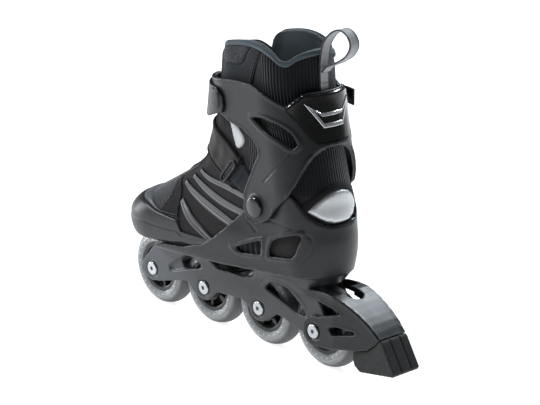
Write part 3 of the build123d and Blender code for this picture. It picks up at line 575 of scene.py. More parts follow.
def rib_knit(name, colour, pitch=3.0):
    """Knit with vertical ribs and rows of small stitches, laid out along the piece's flat coordinates."""
    look = Look(name, colour, 0.9, source="UV")
    rib = look.wave(look.axis(0), pitch)
    stitch = look.maths("MULTIPLY", look.wave(look.axis(1), 1.3), look.wave(look.axis(0), pitch / 2, 1.0))
    fuzz = look.noise(0.7, 3)
    tone = look.maths("ADD", look.maths("MULTIPLY", rib, 0.55), look.maths("MULTIPLY", stitch, 0.45))
    tone = look.maths("MULTIPLY", tone, look.span(fuzz, 0.25, 0.75, 0.6, 1.2), True)
    look.paint(tone, tint(colour, 0.35), tint(colour, 2.1))
    look.bump(rib, 0.75)
    look.bump(stitch, 0.25)
    look.bump(fuzz, 0.15)
    look.fix(Sheen_Weight=0.3, Sheen_Roughness=0.4, Specular_IOR_Level=0.2)
    return look.done()


def air_mesh(name, colour, pitch=2.6):
    """Spacer mesh with rows of open holes."""
    look = Look(name, colour, 0.75, source="UV")
    row = look.axis(1)
    holes = [
        look.maths("MULTIPLY", look.wave(look.axis(0), pitch, phase), look.wave(row, pitch * 0.8, phase))
        for phase in (0.0, math.pi)
    ]
    open_part = look.span(look.maths("MAXIMUM", *holes), 0.35, 0.75)
    look.paint(open_part, tint(colour, 1.5), tint(colour, 0.18))
    look.bump(open_part, -0.5)
    look.bump(look.noise(0.7, 2), 0.12)
    look.fix(Sheen_Weight=0.25)
    return look.done()


def leather(name, colour, roughness=0.5, grain=0.12):
    """Coated synthetic leather with a fine pebbled grain."""
    look = Look(name, colour, roughness)
    pebble = look.cells(1.1)
    look.paint(look.noise(18, 4), tint(colour, 0.8), tint(colour, 1.25))
    look.rough(look.noise(6, 3), roughness - 0.08, roughness + 0.1)
    look.bump(pebble, grain)
    look.bump(look.noise(12, 2), 0.2)
    return look.done()


def rubber(name, colour, roughness=0.75, bloom=0.4):
    """Rubber with a dusty bloom and small pits."""
    look = Look(name, colour, roughness)
    dust = look.span(look.noise(7, 5, rough=0.7), 0.42, 0.7, 0, bloom)
    look.paint(dust, colour, tint(colour, 2.6))
    look.rough(look.noise(3, 3), roughness - 0.1, roughness + 0.1)
    look.bump(look.span(look.cells(1.6), 0, 0.4), 0.08)
    look.bump(look.noise(0.6, 2), 0.06)
    return look.done()


def metal(name, colour, roughness, brushed=(1, 1, 1), grain=0.02, spots=0.15):
    """Metal with brushing or plating grain and a few duller spots."""
    look = Look(name, colour, roughness, metallic=1.0)
    lines = look.noise(0.5, 2, look.stretched(*brushed))
    dull = look.span(look.noise(4, 4, rough=0.7), 0.5, 0.75)
    look.paint(look.maths("MULTIPLY", dull, spots), tint(colour, 1.0), tint(colour, 0.45))
    look.join(look.span(lines, 0.25, 0.75, max(0.05, roughness - 0.08), roughness + 0.12), "Roughness")
    look.bump(lines, grain)
    return look.done()


def wheel_radius(look, axle_x):
    """Distance from a wheel's axle, in metres."""
    x = look.maths("SUBTRACT", look.axis(0), axle_x * MM)
    z = look.maths("SUBTRACT", look.axis(2), AXLE_Z * MM)
    return look.maths("SQRT", look.maths("ADD", look.maths("MULTIPLY", x, x), look.maths("MULTIPLY", z, z)))


TREAD_START, TREAD_FULL = 33.5, 36.5


def urethane(name, axle_x):
    """Cast wheel urethane: dusty matt tread and a clearer, glossier side ring."""
    look = Look(name, (0.2, 0.2, 0.2), 0.4)
    radius = wheel_radius(look, axle_x)
    tread = look.span(radius, TREAD_START * MM, TREAD_FULL * MM)
    ring = look.colours(look.noise(9, 3), (0.36, 0.38, 0.39), (0.48, 0.5, 0.51))
    scuffs = look.noise(1.6, 5, look.stretched(1, 5, 1), 0.7)
    worn = look.colours(look.span(scuffs, 0.3, 0.7), (0.085, 0.085, 0.09), (0.15, 0.15, 0.155))
    look.join(look.blend(tread, ring, worn), "Base Color")
    look.join(look.span(tread, 0, 1, 0.16, 0.6), "Roughness")
    look.bump(look.maths("MULTIPLY", scuffs, tread), 0.25)
    look.bump(look.noise(5, 2), 0.12)
    look.fix(Transmission_Weight=0.45)
    return look.done()


def webbing(name, body, edge, half_width, edge_width, reflective=0.0):
    """Flat woven tape with ribs across it and darker selvedges."""
    look = Look(name, body, 0.7, source="UV")
    away = look.maths("ABSOLUTE", look.axis(1))
    selvedge = look.span(away, (half_width - edge_width) * MM, (half_width - edge_width + 0.25) * MM)
    ribs = look.wave(look.axis(0), 1.1)
    weave = look.maths("MULTIPLY", ribs, look.half(look.wave(look.axis(1), 0.9)))
    mottled = look.maths("MULTIPLY", look.maths("ADD", weave, look.noise(2.2, 3)), 0.5)
    cloth_tone = look.colours(mottled, tint(body, 0.72), tint(body, 1.25))
    edge_tone = look.colours(ribs, tint(edge, 0.7), tint(edge, 1.6))
    look.join(look.blend(selvedge, cloth_tone, edge_tone), "Base Color")
    look.bump(weave, 0.25)
    look.fix(Sheen_Weight=0.2, Coat_Weight=reflective, Coat_Roughness=0.45)
    return look.done()


def thread(name, colour):
    """Twisted sewing thread."""
    look = Look(name, colour, 0.6)
    twist = look.wave(look.maths("ADD", look.axis(0), look.axis(2)), 0.7)
    look.paint(twist, tint(colour, 0.6), tint(colour, 1.4))
    look.bump(twist, 0.15)
    look.fix(Sheen_Weight=0.3)
    return look.done()


def rib_trim(name, colour):
    """Coated reflective stripe: dark borders, lighter middle, scored line in painted shade, fine grain."""
    look = Look(name, colour, 0.42, source="UV")
    across = look.axis(1)
    away = look.maths("ABSOLUTE", across)
    border = look.span(away, 5.6 * MM, 6.6 * MM)
    middle = look.colours(look.span(look.noise(1.2, 4), 0.3, 0.7), tint(colour, 0.8), tint(colour, 1.25))
    # Painted shade: the scored line is painted near black along its groove; the dark borders are the stripe's
    # own colour.
    groove = look.maths("ABSOLUTE", look.maths("ADD", across, 1.2 * MM))
    dark = look.maths("MAXIMUM", border, look.span(groove, 1.5 * MM, 0.7 * MM))
    look.join(look.blend(dark, middle, (*tint(colour, 0.12), 1)), "Base Color")
    look.join(look.span(look.noise(1.0, 3), 0, 1, 0.3, 0.55), "Roughness")
    look.fix(Metallic=0.25)
    look.bump(look.noise(0.7, 3), 0.08)
    return look.done()


LOOKS = {
    # The shell's colour carries painted light: lighter on its lower part and towards the toe.
    "shell": plastic("shell_grey", (0.017, 0.018, 0.0195), 0.36, wear=0.6, painted_light=0.8),
    "cuff": plastic("cuff_charcoal", (0.0125, 0.0135, 0.015), 0.38, wear=0.6),
    "brake_arm": plastic("arm_black", (0.0125, 0.0135, 0.0145), 0.36, wear=0.6),
    "cap": plastic("cap_black", (0.0095, 0.01, 0.0105), 0.17, grain=0.008, wear=0.4, gloss=0.5),
    "panel": plastic("panel_gloss", (0.004, 0.0045, 0.005), 0.16, grain=0.005, wear=0.3, gloss=0.5),
    "buckle": plastic("buckle_black", (0.011, 0.0115, 0.012), 0.34, wear=0.6),
    "pawl": plastic("pawl_grey", (0.03, 0.031, 0.033), 0.4),
    "strap": plastic("strap_rubbery", (0.014, 0.0148, 0.016), 0.42, grain=0.05, wear=0.6),
    "hub": plastic("hub_black", (0.009, 0.009, 0.0095), 0.3, wear=0.5, gloss=0.2),
    "vamp": cloth("vamp_cloth", (0.0135, 0.0112, 0.0122), pitch=1.3, contrast=0.6, depth=0.2, sheen=0.25),
    "smooth": cloth("collar_panel", (0.0135, 0.0165, 0.0195), 0.55, contrast=0.15, depth=0.05, sheen=0.3),
    "heather": cloth("heather_mesh", (0.026, 0.028, 0.032), pitch=1.3, contrast=0.6, depth=0.3, heather=0.9),
    "lining": cloth("lining_teal", (0.026, 0.036, 0.042), pitch=0.7, contrast=0.25, depth=0.08, sheen=0.6),
    "knit": rib_knit("rib_knit", (0.0085, 0.0098, 0.0125)),
    "toe_mesh": air_mesh("toe_mesh", (0.017, 0.019, 0.023)),
    "piping": cloth("piping_teal", (0.06, 0.082, 0.094), pitch=0.8, contrast=0.2, depth=0.12, sheen=0.5),
    "rand": leather("rand_leather", (0.014, 0.015, 0.0165), 0.42, grain=0.045),
    "rand_patch": leather("rand_patch", (0.085, 0.097, 0.107), 0.42, grain=0.06),
    "binding": cloth("black_binding", (0.009, 0.009, 0.0105), pitch=0.9, contrast=0.4, depth=0.2, sheen=0.2),
    "strap_cloth": cloth("strap_cloth", (0.025, 0.0225, 0.0215), pitch=0.75, contrast=0.3, sheen=0.5),
    "anchor": cloth("anchor_nylon", (0.012, 0.0155, 0.02), pitch=1.5, contrast=0.7, depth=0.3, sheen=0.2),
    "silver": leather("silver_coating", (0.5, 0.52, 0.54), 0.35, grain=0.05),
    "rib": rib_trim("rib_silver", (0.112, 0.111, 0.113)),
    "badge": metal("badge_silver", (0.62, 0.64, 0.66), 0.5, brushed=(1, 1, 9)),
    "chevron": metal("chevron_chrome", (0.6, 0.62, 0.64), 0.25, spots=0.1),
    "zinc": metal("bolt_zinc", (0.5, 0.52, 0.54), 0.22, spots=0.3),
    "steel": metal("bearing_steel", (0.6, 0.6, 0.6), 0.25),
    "dark_metal": metal("ring_black_nickel", (0.035, 0.035, 0.04), 0.25),
    "insole": cloth("insole_foam", (0.03, 0.03, 0.033), pitch=1.1, contrast=0.4, depth=0.12, sheen=0.3),
    "pad": rubber("brake_rubber", (0.014, 0.014, 0.0145)),
    "stitch": thread("thread_black", (0.016, 0.016, 0.018)),
    "grey_stitch": thread("thread_grey", (0.07, 0.075, 0.08)),
    "loop": webbing("loop_webbing", (0.36, 0.37, 0.39), (0.012, 0.012, 0.014), 6, 1.5, 0.3),
}


def dress(piece, look, body):
    """Gives a piece its material and its body."""
    piece.data.materials.clear()
    piece.data.materials.append(LOOKS[look])
    if body:
        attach(piece, body)
    return piece


# ---------------------------------------------------------------- boot liner, collar and tongue
RIM_OUT = -1.2
RIM_IN = -8.6
RIM_ROUND = 2.4
SOLE_LIFTS = (0.3, 5.2)  # how far the liner's outside and inside start above the sole line
WALL_OUT = -0.4
TOE_COLUMNS, SIDE_COLUMNS, HEEL_COLUMNS = 84, 52, 76
TONGUE_SHARE = (0.16, 0.84)
NECK_ANGLE = math.radians(36)
CORNER_SHARE, CORNER_DROP = 0.07, 7
TONGUE_LOW, TONGUE_TOP = 284, 293
TONGUE_BANDS = (282.5, 234)  # heathered mesh above the first height, vamp cloth below the second


def heights(curve):
    """A side-view edge as a height over x."""
    curve = np.array(sorted(map(tuple, curve)), float)
    return lambda x: smooth_curve(x, curve[:, 0], curve[:, 1])


def straight(curve):
    curve = np.array(sorted(map(tuple, curve)), float)
    return lambda x: np.interp(x, curve[:, 0], curve[:, 1])


rim_height = heights(RIM)
sole_height = straight(SOLE)


def neck_height(x):
    return PIVOT[1] + (x - PIVOT[0]) * math.tan(NECK_ANGLE)


def all_columns():
    """Column positions once round the boot, closer together round the toe and the heel."""
    parts = [(0, TOE_COLUMNS), (1, SIDE_COLUMNS), (2, HEEL_COLUMNS), (3, SIDE_COLUMNS)]
    return np.concatenate([start + np.arange(count) / count for start, count in parts])


def liner_top(u, x):
    """Top edge of the liner: the collar's rim, or the vamp's edge under the tongue."""
    in_gap = (u > TONGUE_SHARE[0]) & (u < TONGUE_SHARE[1])
    away = np.clip(np.minimum(np.abs(u - TONGUE_SHARE[0]), np.abs(u - TONGUE_SHARE[1])) / CORNER_SHARE, 0, 1)
    corner = CORNER_DROP * (1 - np.sqrt(1 - (1 - away) ** 2))
    return np.where(in_gap, neck_height(x), rim_height(x) - corner)


COLLAR_SEAM = through([(-45, 235), (-50, 255), (-54, 272), (-59, 286), (-67, 303)])
PATCH_SEAM = through([(-20, 282.5), (-30, 283), (-38, 285), (-43, 290), (-47, 297), (-52, 304)])
PATCH_LOW = through([(20, 281), (0, 282), (-20, 282.5)])
TOE_SEAM = through([(66, 154.5), (64, 149), (63, 139), (67, 127), (72, 118)])


def make_liner():
    """The soft boot in one piece: sole, vamp, heel and padded collar, with its lining."""
    columns = all_columns()
    count = len(columns)
    out_rows, rim_rows, in_rows = 124, 7, 60
    share_out = np.linspace(0, 1, out_rows) ** 0.92
    turn = np.linspace(0, np.pi, rim_rows + 2)[1:-1]
    grows, lifts, shares = [], [], []
    for v in share_out:
        grows.append(WALL_OUT + (RIM_OUT - WALL_OUT) * float(ramp(v, 0.955, 1.0)))
        lifts.append(0.0)
        shares.append(v)
    for a in turn:
        grows.append((RIM_OUT + RIM_IN) / 2 + (RIM_OUT - RIM_IN) / 2 * math.cos(a))
        lifts.append(RIM_ROUND * math.sin(a))
        shares.append(1.0)
    for v in np.linspace(1, 0, in_rows):
        puff = float(ramp(v, 0.75, 0.93) * ramp(1 - v, 0, 0.04))
        grows.append(-6.0 - 2.4 * float(ramp(v, 0.3, 0.7)) - 1.6 * puff)
        lifts.append(0.0)
        shares.append(v)
    u = columns[None, :] * np.ones((len(shares), 1))
    v = np.array(shares)[:, None] * np.ones((1, count))
    grow = np.array(grows)[:, None] * np.ones((1, count))
    floor_lift = np.where(np.arange(len(shares)) < out_rows, *SOLE_LIFTS)[:, None]


    def height(u, x):
        base = sole_height(x) + floor_lift
        return base + (liner_top(u, x) - sole_height(x) - floor_lift) * v

    z = settle(u, np.full(u.shape, BOOT_MIDDLE), height, keep=0.4)
    x, y = ring_point(u, z, grow)
    z = z + np.array(lifts)[:, None]
    points = np.stack([x, y, z], -1)
    faces = grid_faces(len(shares), count, 0, wrap=True)
    faces += [list(range(count))[::-1], [(len(shares) - 1) * count + i for i in range(count)]]
    step = np.linalg.norm(np.roll(points[60], -1, 0) - points[60], axis=1)
    along = np.concatenate([[0], np.cumsum(step)[:-1]])
    flat = np.stack([along[None, :] * np.ones((len(shares), 1)), z], -1).reshape(-1, 2)
    piece = new_piece("boot_liner", points.reshape(-1, 3), faces, flat, 75)
    shape_liner(piece)
    paint_liner(piece, out_rows, count)
    return piece


def shape_liner(piece):
    """Seam channels, the soft swell between them and small creases."""
    mesh = piece.data
    co, normals = coordinates(mesh), vertex_normals(mesh)
    facing_out = ramp(np.sum(normals[:, :2] * (co[:, :2] - [-40, 0]), 1), -2, 2)
    for line, depth in ((COLLAR_SEAM, -1.1), (PATCH_SEAM, -1.0), (PATCH_LOW, -1.0), (TOE_SEAM, -0.5)):
        near = ramp(1 - line_distance(co[:, [0, 2]], line) / 3.2, 0, 1)
        co += normals * (depth * near * facing_out)[:, None]
    wave = np.sin(co[:, 0] * 0.11 + 1.3) * np.sin(co[:, 2] * 0.13)
    wave = wave + 0.6 * np.sin(co[:, 1] * 0.17 + co[:, 2] * 0.09)
    upper = ramp(co[:, 2], 236, 262)
    co += normals * (0.45 * wave * upper)[:, None]
    crease = np.sin((co[:, 2] - 0.45 * co[:, 0]) * 0.42 + 0.4 * np.sin(co[:, 1] * 0.12))
    bend = ramp(co[:, 0], -20, 10) * ramp(60 - co[:, 0], 0, 30) * ramp(co[:, 2], 140, 160) * facing_out
    co += normals * (0.22 * crease * bend)[:, None]
    move_to(mesh, co)


HEEL_CLOTH_X, HEEL_CLOTH_TOP = -66, 172
PANEL_LOW, PATCH_REAR, TOE_MESH_LOW = 232, -52, 112


def paint_liner(piece, out_rows, count):
    """Vamp cloth, rib knit, smooth panel, heathered patch, toe mesh and lining, by region."""
    mesh = piece.data
    names = ["vamp", "knit", "smooth", "heather", "toe_mesh", "lining"]
    for name in names:
        mesh.materials.append(LOOKS[name])
    centres = np.array([tuple(f.center) for f in mesh.polygons]) / MM
    side = centres[:, [0, 2]]
    choice = np.zeros(len(centres), int)
    seam_x = np.interp(side[:, 1], COLLAR_SEAM[:, 1], COLLAR_SEAM[:, 0])
    rear = side[:, 0] < HEEL_CLOTH_X
    choice[(side[:, 0] < seam_x) | (rear & (side[:, 1] > HEEL_CLOTH_TOP))] = 1
    front = (side[:, 0] >= seam_x) & (side[:, 1] > PANEL_LOW)
    choice[front] = 2
    patch_z = np.interp(side[:, 0], PATCH_SEAM[::-1, 0], PATCH_SEAM[::-1, 1])
    choice[front & (side[:, 1] > patch_z) & (side[:, 0] > PATCH_REAR)] = 3
    toe_x = np.interp(side[:, 1], TOE_SEAM[::-1, 1], TOE_SEAM[::-1, 0])
    choice[(side[:, 0] > toe_x) & (side[:, 1] > TOE_MESH_LOW)] = 4
    choice[rear & (side[:, 1] < HEEL_CLOTH_TOP)] = 0
    rows = np.arange(len(mesh.polygons)) // count
    choice[rows >= out_rows + 1] = 5
    mesh.polygons.foreach_set("material_index", choice.astype(np.int32))


def make_tongue():
    """Padded tongue in the gap of the collar, with a cushioned top."""
    low, high = TONGUE_SHARE
    margin = 0.012
    columns = np.linspace(low + margin, high - margin, 46)

    def crest(x):
        return TONGUE_LOW + (TONGUE_TOP - TONGUE_LOW) * ramp(x, -10, 6)

    def root(x):
        return neck_height(x) + 0.6

    def outer(u, v):
        edge = np.minimum(np.minimum(u, 1 - u) * 60, np.minimum(v * 80, (1 - v) * 80))
        return -3.4 + 2.9 * ramp(edge, -1, 5) + 0.9 * np.sin(np.pi * u)

    def inner(u, v):
        edge = np.minimum(np.minimum(u, 1 - u) * 60, (1 - v) * 80)
        return -5.4 - 3.0 * ramp(edge, -1, 5)

    return band("tongue_pad", columns, root, crest, 70, outer, inner, 75)


liner = make_liner()
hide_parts("boot_upper", "collar")
tongue = make_tongue()
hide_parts("tongue")
for look in ("heather", "smooth", "vamp"):
    tongue.data.materials.append(LOOKS[look])
tongue_heights = np.array([f.center[2] for f in tongue.data.polygons]) / MM
bands = np.digitize(-tongue_heights, [-z for z in TONGUE_BANDS]).astype(np.int32)
tongue.data.polygons.foreach_set("material_index", bands)


def bend_with_cuff(piece):
    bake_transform(piece)


def collar_piece(piece, look):
    """Dresses trim on the collar: gives it its material and bakes its place into its mesh."""
    piece.data.materials.clear()
    piece.data.materials.append(LOOKS[look])
    bend_with_cuff(piece)
    return piece


bend_with_cuff(liner)
bend_with_cuff(tongue)


def rim_line(grow, lift):
    """The collar's rim from one edge of the tongue gap round the heel to the other."""
    u = np.linspace(TONGUE_SHARE[1] + 0.012, 4 + TONGUE_SHARE[0] - 0.012, 220)
    z = settle(u, np.full(u.shape, RIM_MIDDLE), lambda u, x: liner_top(u % 4 + 1e-9, x), keep=0.4)
    x, y = ring_point(u, z, grow)
    return np.column_stack([x, y, z + lift])


def make_piping():
    """Stuffed piping along the rim, oval in section."""
    path = rim_line(-1.0, 0.6)
    rows, count = 14, len(path)
    centre = np.array([-42.0, 0.0])
    outward = path[:, :2] - centre
    outward /= np.linalg.norm(outward, axis=1)[:, None]
    turn = np.linspace(0, 2 * np.pi, rows, endpoint=False)
    fade = ramp(np.minimum(np.arange(count), np.arange(count)[::-1]), -1, 6)
    points = np.zeros((rows, count, 3))
    for i, a in enumerate(turn):
        points[i, :, :2] = path[:, :2] + outward * (2.3 * math.cos(a) * fade)[:, None]
        points[i, :, 2] = path[:, 2] + 2.7 * math.sin(a) * fade
    flat = points.transpose(1, 0, 2).reshape(-1, 3)
    faces = grid_faces(count, rows, 0, wrap=True)
    faces += [list(range(rows))[::-1], [(count - 1) * rows + i for i in range(rows)]]
    return new_piece("collar_piping", flat, faces, None, 70)


piping = make_piping()
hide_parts("collar_binding")
collar_piece(piping, "piping")

for side, word in ((1, "inner"), (-1, "outer")):
    seam = on_side(COLLAR_SEAM[6:], WALL_OUT - 0.5, side)
    collar_piece(curve_mesh(f"collar_seam_{word}", [seam], 0.8), "binding")
    beside = on_side(COLLAR_SEAM[6:] + [2.8, 0], WALL_OUT, side)
    collar_piece(stitches(f"collar_stitches_{word}", beside), "grey_stitch")
    seam = on_side(PATCH_SEAM, WALL_OUT - 0.4, side)
    collar_piece(curve_mesh(f"patch_seam_{word}", [seam], 0.7), "binding")


# ---------------------------------------------------------------- vamp trim
def side_place(side):
    return lambda p, grow: on_side(p, grow, side)


# Each rib's centre line and its widths from the shell forwards.
RIBS = [
    ([(-9, 102), (10, 112.5), (24, 119.5), (34, 126), (47, 135.5)], [9.0, 9.8, 9.4, 8.6, 5.0]),
    (
        [(-35, 126), (-8, 132.5), (12, 137.8), (28, 143), (39, 147.5), (48, 153)],
        [7.8, 8.8, 8.8, 7.8, 6.6, 4.4],
    ),
    ([(-46, 139.5), (-12, 144), (10, 149.5), (24, 154.5), (38, 160.5)], [7.4, 8.2, 8.0, 6.8, 4.4]),
    ([(-49, 155), (-15, 159.6), (6, 161.2), (18, 163.4), (29, 168)], [6.2, 6.6, 6.2, 5.4, 3.6]),
]


def rib_profile(t):
    """Two rounded ridges with a scored line between them."""
    ridge = 1.25 * ramp(1 - np.abs(t), 0, 0.3)
    return 0.1 + ridge - 0.6 * ramp(1 - np.abs(t + 0.12) / 0.18, 0, 1)


def rounded_profile(height, edge, base=0.0):
    """Growth across a strip: height in the middle above base, rounded off over edge of the half width."""
    return lambda t: base + height * ramp(1 - np.abs(t), 0, edge)


def level(growth):
    return lambda u, v: growth + 0 * v


def joined(name, pieces):
    """Several pieces as one object."""
    bpy.ops.object.select_all(action="DESELECT")
    for piece in pieces:
        piece.select_set(True)
    bpy.context.view_layer.objects.active = pieces[0]
    bpy.ops.object.join()
    pieces[0].name = name
    pieces[0].data.name = name
    return pieces[0]


for number, (centre, widths) in enumerate(RIBS, start=1):
    sides = [
        strip(f"rib_{number}_{side}", centre, widths, side_place(side), rib_profile, -0.2, across=15)
        for side in (1, -1)
    ]
    rib = joined(f"vamp_rib_trim_{number}", sides)
    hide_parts(f"vamp_rib_{number}")
    dress(rib, "rib", "chassis")

RAND_LOW = [(38, 95), (52, 91.5), (70, 89.5), (90, 87), (160, 84)]
RAND_HIGH = [(38, 106), (44, 116.5), (60, 118), (76, 120), (90, 124), (114, 126), (160, 126)]
TOE_WRAP = np.concatenate([
    3.42 + np.arange(40) / 69, np.arange(TOE_COLUMNS) / TOE_COLUMNS, 1 + np.arange(41) / 69,
])


def rand_outer(u, v):
    edge = np.minimum(np.minimum(u, 1 - u) * 300, np.minimum(v * 60, (1 - v) * 34))
    seam = ramp(1 - np.abs(v - 0.52) / 0.05, 0, 1)
    return 0.1 + 1.6 * ramp(edge, -0.6, 1.8) - 0.55 * seam


rand = band("toe_rand_cover", TOE_WRAP, straight(RAND_LOW), straight(RAND_HIGH), 48, rand_outer, level(-0.3))
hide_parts("toe_rand")
dress(rand, "rand", "chassis")

PATCH_LOW_EDGE = [(70, 120.4), (76, 121.6), (90, 125.6), (114, 127.6), (160, 127.6)]
PATCH_HIGH_EDGE = [(70, 120.8), (78, 124.2), (90, 130), (104, 133), (160, 133.4)]
PATCH_WRAP = np.linspace(0.57, 1.2, 64)


def patch_outer(u, v):
    edge = np.minimum(np.minimum(u, 1 - u) * 60, np.minimum(v, 1 - v) * 7)
    return 0.1 + 1.1 * ramp(edge, -0.3, 1.2)


for side, word in ((1, "inner"), (-1, "outer")):
    wrap = PATCH_WRAP if side > 0 else 5 - PATCH_WRAP[::-1]
    patch_edges = straight(PATCH_LOW_EDGE), straight(PATCH_HIGH_EDGE)
    toe_patch = band(f"toe_patch_{word}", wrap, *patch_edges, 14, patch_outer, level(-0.3))
    dress(toe_patch, "rand_patch", "chassis")
    seam = on_side(through([(41, 118), (60, 119), (76, 121.2), (88, 126)]), 0.2, side)
    dress(stitches(f"rand_stitches_{word}", seam), "stitch", "chassis")
    seam = on_side(TOE_SEAM, -0.3, side)
    dress(stitches(f"toe_stitches_{word}", seam), "stitch", "chassis")

FRONT_SEAM = [(60, 154.5), (55, 149), (51, 141), (48.5, 130), (44, 117), (38, 104), (34, 97)]
SEAM_WIDTH = 3.2
front_edges = [
    strip(f"front_{side}", FRONT_SEAM, [SEAM_WIDTH] * 7, side_place(side), rounded_profile(0.9, 0.8), -0.3)
    for side in (1, -1)
]
dress(joined("vamp_front_edge", front_edges), "binding", "chassis")


LACE_SHARE = (0.33, 0.67)
LACE_LOW = 158.5


def lace_outer(u, v):
    edge = np.minimum(np.minimum(u, 1 - u) * 26, np.minimum(v * 90, (1 - v) * 90))
    fold = np.sin(v * 46) * 0.35 * ramp(edge, 1, 5)
    return 0.2 + 2.1 * ramp(edge, -0.5, 4.0) + fold


cover = band(
    "lace_cover", np.linspace(*LACE_SHARE, 26), lambda x: LACE_LOW + 0 * x, lambda x: neck_height(x) - 1.0,
    64, lace_outer, level(-0.5),
)
dress(cover, "vamp", "chassis")


# ---------------------------------------------------------------- heel badge
def mirrored(half, middle=()):
    """A rear-view half outline, then its middle points, then its mirror image."""
    return half + list(middle) + [(-y, z) for y, z in half[::-1]]


BADGE = mirrored([(30, 158), (26, 163), (20, 168.5), (13, 173), (5, 175.4)])
BADGE += mirrored([(-24, 153), (-17, 148.6), (-8, 145.8)])
badge = patch("heel_shield", through(BADGE, 3, True), on_rear, 1.7, -0.2, spacing=2.2)
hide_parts("heel_badge")
dress(badge, "badge", "chassis")
BADGE_TOP = mirrored([(34, 154.5), (29, 162.5), (21, 171), (12, 176.5)], [(0, 178.8)])
BADGE_EDGE = 6.4
border = strip(
    "heel_shield_border", BADGE_TOP, [BADGE_EDGE] * 9, on_rear, rounded_profile(1.5, 0.6), -0.3, per=6,
)
dress(border, "binding", "chassis")


# ---------------------------------------------------------------- instep strap
INSTEP_LOW = [(-33, 190), (-14, 169), (4, 178), (16, 188), (40, 196)]
INSTEP_HIGH = [(-33, 190.5), (-29, 194), (-16, 203), (-2, 212), (16, 219), (40, 226)]


def instep_outer(u, v):
    edge = np.minimum(v * 30, (1 - v) * 30)
    ripple = 0.25 * np.sin(u * 60 + 2 * v) + 0.2 * np.sin(v * 9 + u * 17)
    return 1.2 + 1.9 * ramp(edge, -1.5, 2.5) + ripple * ramp(edge, 1, 6)


STRAP_WRAP = np.concatenate([np.linspace(3.60, 3.99, 30), np.linspace(0, 0.99, 70), np.linspace(1, 1.40, 31)])
instep_edges = straight(INSTEP_LOW), straight(INSTEP_HIGH)
instep = band("instep_strap_cloth", STRAP_WRAP, *instep_edges, 24, instep_outer, level(0.9))
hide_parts("instep_strap")
dress(instep, "strap_cloth", "chassis")


def band_edge(columns, height, grow):
    z = settle(columns, np.full(columns.shape, INSTEP_MIDDLE), lambda u, x: height(x))
    x, y = ring_point(columns, z, grow)
    return np.column_stack([x, y, z])


edges = [band_edge(STRAP_WRAP, edge, 2.1) for edge in instep_edges]
dress(curve_mesh("instep_strap_edges", edges, 1.7), "binding", "chassis")

FOLD = [(-35, 193), (-30, 187), (-23, 179.5), (-17, 173), (-12, 167.5)]
FOLD_WIDTHS = [6.5, 7.5, 8, 7.5, 6.5]
folds = [
    strip(f"fold_{side}", FOLD, FOLD_WIDTHS, side_place(side), rounded_profile(2.4, 0.7, 1.5), 0.4)
    for side in (1, -1)
]
dress(joined("instep_strap_folds", folds), "binding", "chassis")

ANCHOR = [(-15, 169), (-24, 166), (-37, 160), (-47, 162), (-51, 177), (-34, 189.5)]
anchors = [patch(f"anchor_{side}", ANCHOR, side_place(side), 1.7, 0.2) for side in (1, -1)]
anchor = joined("strap_anchor_web", anchors)
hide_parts("strap_anchor")
dress(anchor, "anchor", "chassis")

TONGUE_PATCH = [
    (-15, 226), (-19, 224), (-25, 204), (-30, 201), (-37, 206), (-39, 212), (-34, 218), (-24, 227),
]
for side, word in ((1, "inner"), (-1, "outer")):
    silver = patch(f"eyelet_patch_{word}", through(TONGUE_PATCH, 4, True), side_place(side), 0.9, -0.4)
    silver.data.materials.clear()
    silver.data.materials.append(LOOKS["silver"])
    bend_with_cuff(silver)


# ---------------------------------------------------------------- shell and frame
# Side-view grooves (height below zero) and raised edges, each with its half width and height, in the order in
# which they are pressed in. In SHELL_LINES a last value says whether the line is closed.
SHELL_LINES = [
    ([(-43, 145), (-50, 137), (-63, 129)], 1.2, -0.7, False),
    (
        [(-74, 143), (-104, 142), (-121, 137), (-127, 131), (-126, 120), (-119, 110), (-107, 101), (-88, 93)],
        1.3, -0.6, False,
    ),
    ([(-33, 106), (-52, 116), (-72, 124), (-84, 129), (-100, 134), (-119, 138)], 2.6, 0.8, False),
    ([(-31, 108), (-70, 123), (-73, 119), (-71, 106), (-43, 101.5), (-31, 106)], 2.6, 0.9, False),
    (
        [
            (-79, 113), (-83, 125), (-90, 129), (-115, 138.5), (-120, 133), (-114, 115), (-108, 110),
            (-80, 106),
        ], 2.6, 0.9, True,
    ),
    (
        [(92, 79.5), (66, 88.5), (39, 91.5), (10, 100.5), (-10, 113.5), (-27, 128.5), (-43, 144.5)],
        2.4, 0.9, False,
    ),
    ([(40, 75), (18, 80.5), (-37, 88), (-47, 84), (-35, 69)], 3.0, 0.8, False),
    ([(-47, 66), (-60, 74), (-82, 74), (-106, 59)], 2.6, 0.8, False),
    ([(-47, 70), (-70, 79), (-95, 80), (-118, 74)], 3.5, -0.7, False),
]
CUFF_LINES = [
    ([(-109, 218), (-101, 206), (-89, 193), (-77, 181)], 1.1, -0.8),
    (
        [
            (-58, 241), (-76, 243.5), (-95, 239), (-106, 231.5), (-112.5, 220), (-107, 214.5), (-93, 221),
            (-74, 228), (-58, 237),
        ], 2.4, 0.7,
    ),
    ([(-47, 161), (-55, 181), (-68, 205), (-66, 211), (-59, 218), (-46, 225), (-24, 229)], 2.8, 0.8),
    ([(-107, 172), (-113.5, 186), (-117.5, 199), (-121, 209)], 2.6, 1.0),
    (
        [(40, 262), (0, 265), (-25, 268), (-40, 269), (-60, 269), (-70, 266.5), (-85, 260), (-98, 254)],
        2.6, 1.0,
    ),
    ([(-52, 139.5), (-61, 137.5), (-71, 139), (-84, 147), (-90, 155)], 2.2, 0.8),
]
ARM_LINES = [
    ([(-128, 80), (-140, 80.5), (-158, 77), (-175, 70), (-190, 61), (-200, 52)], 2.0, 0.8),
    ([(-134, 58), (-155, 64), (-157, 67.5), (-148, 70), (-130, 73)], 1.8, 0.6),
    ([(-147, 41), (-174, 48), (-174, 53.5), (-152, 53.5), (-140, 50)], 1.6, 0.5),
]
shell = moulded("shell_and_frame", "shell_frame", 1.25, 16)
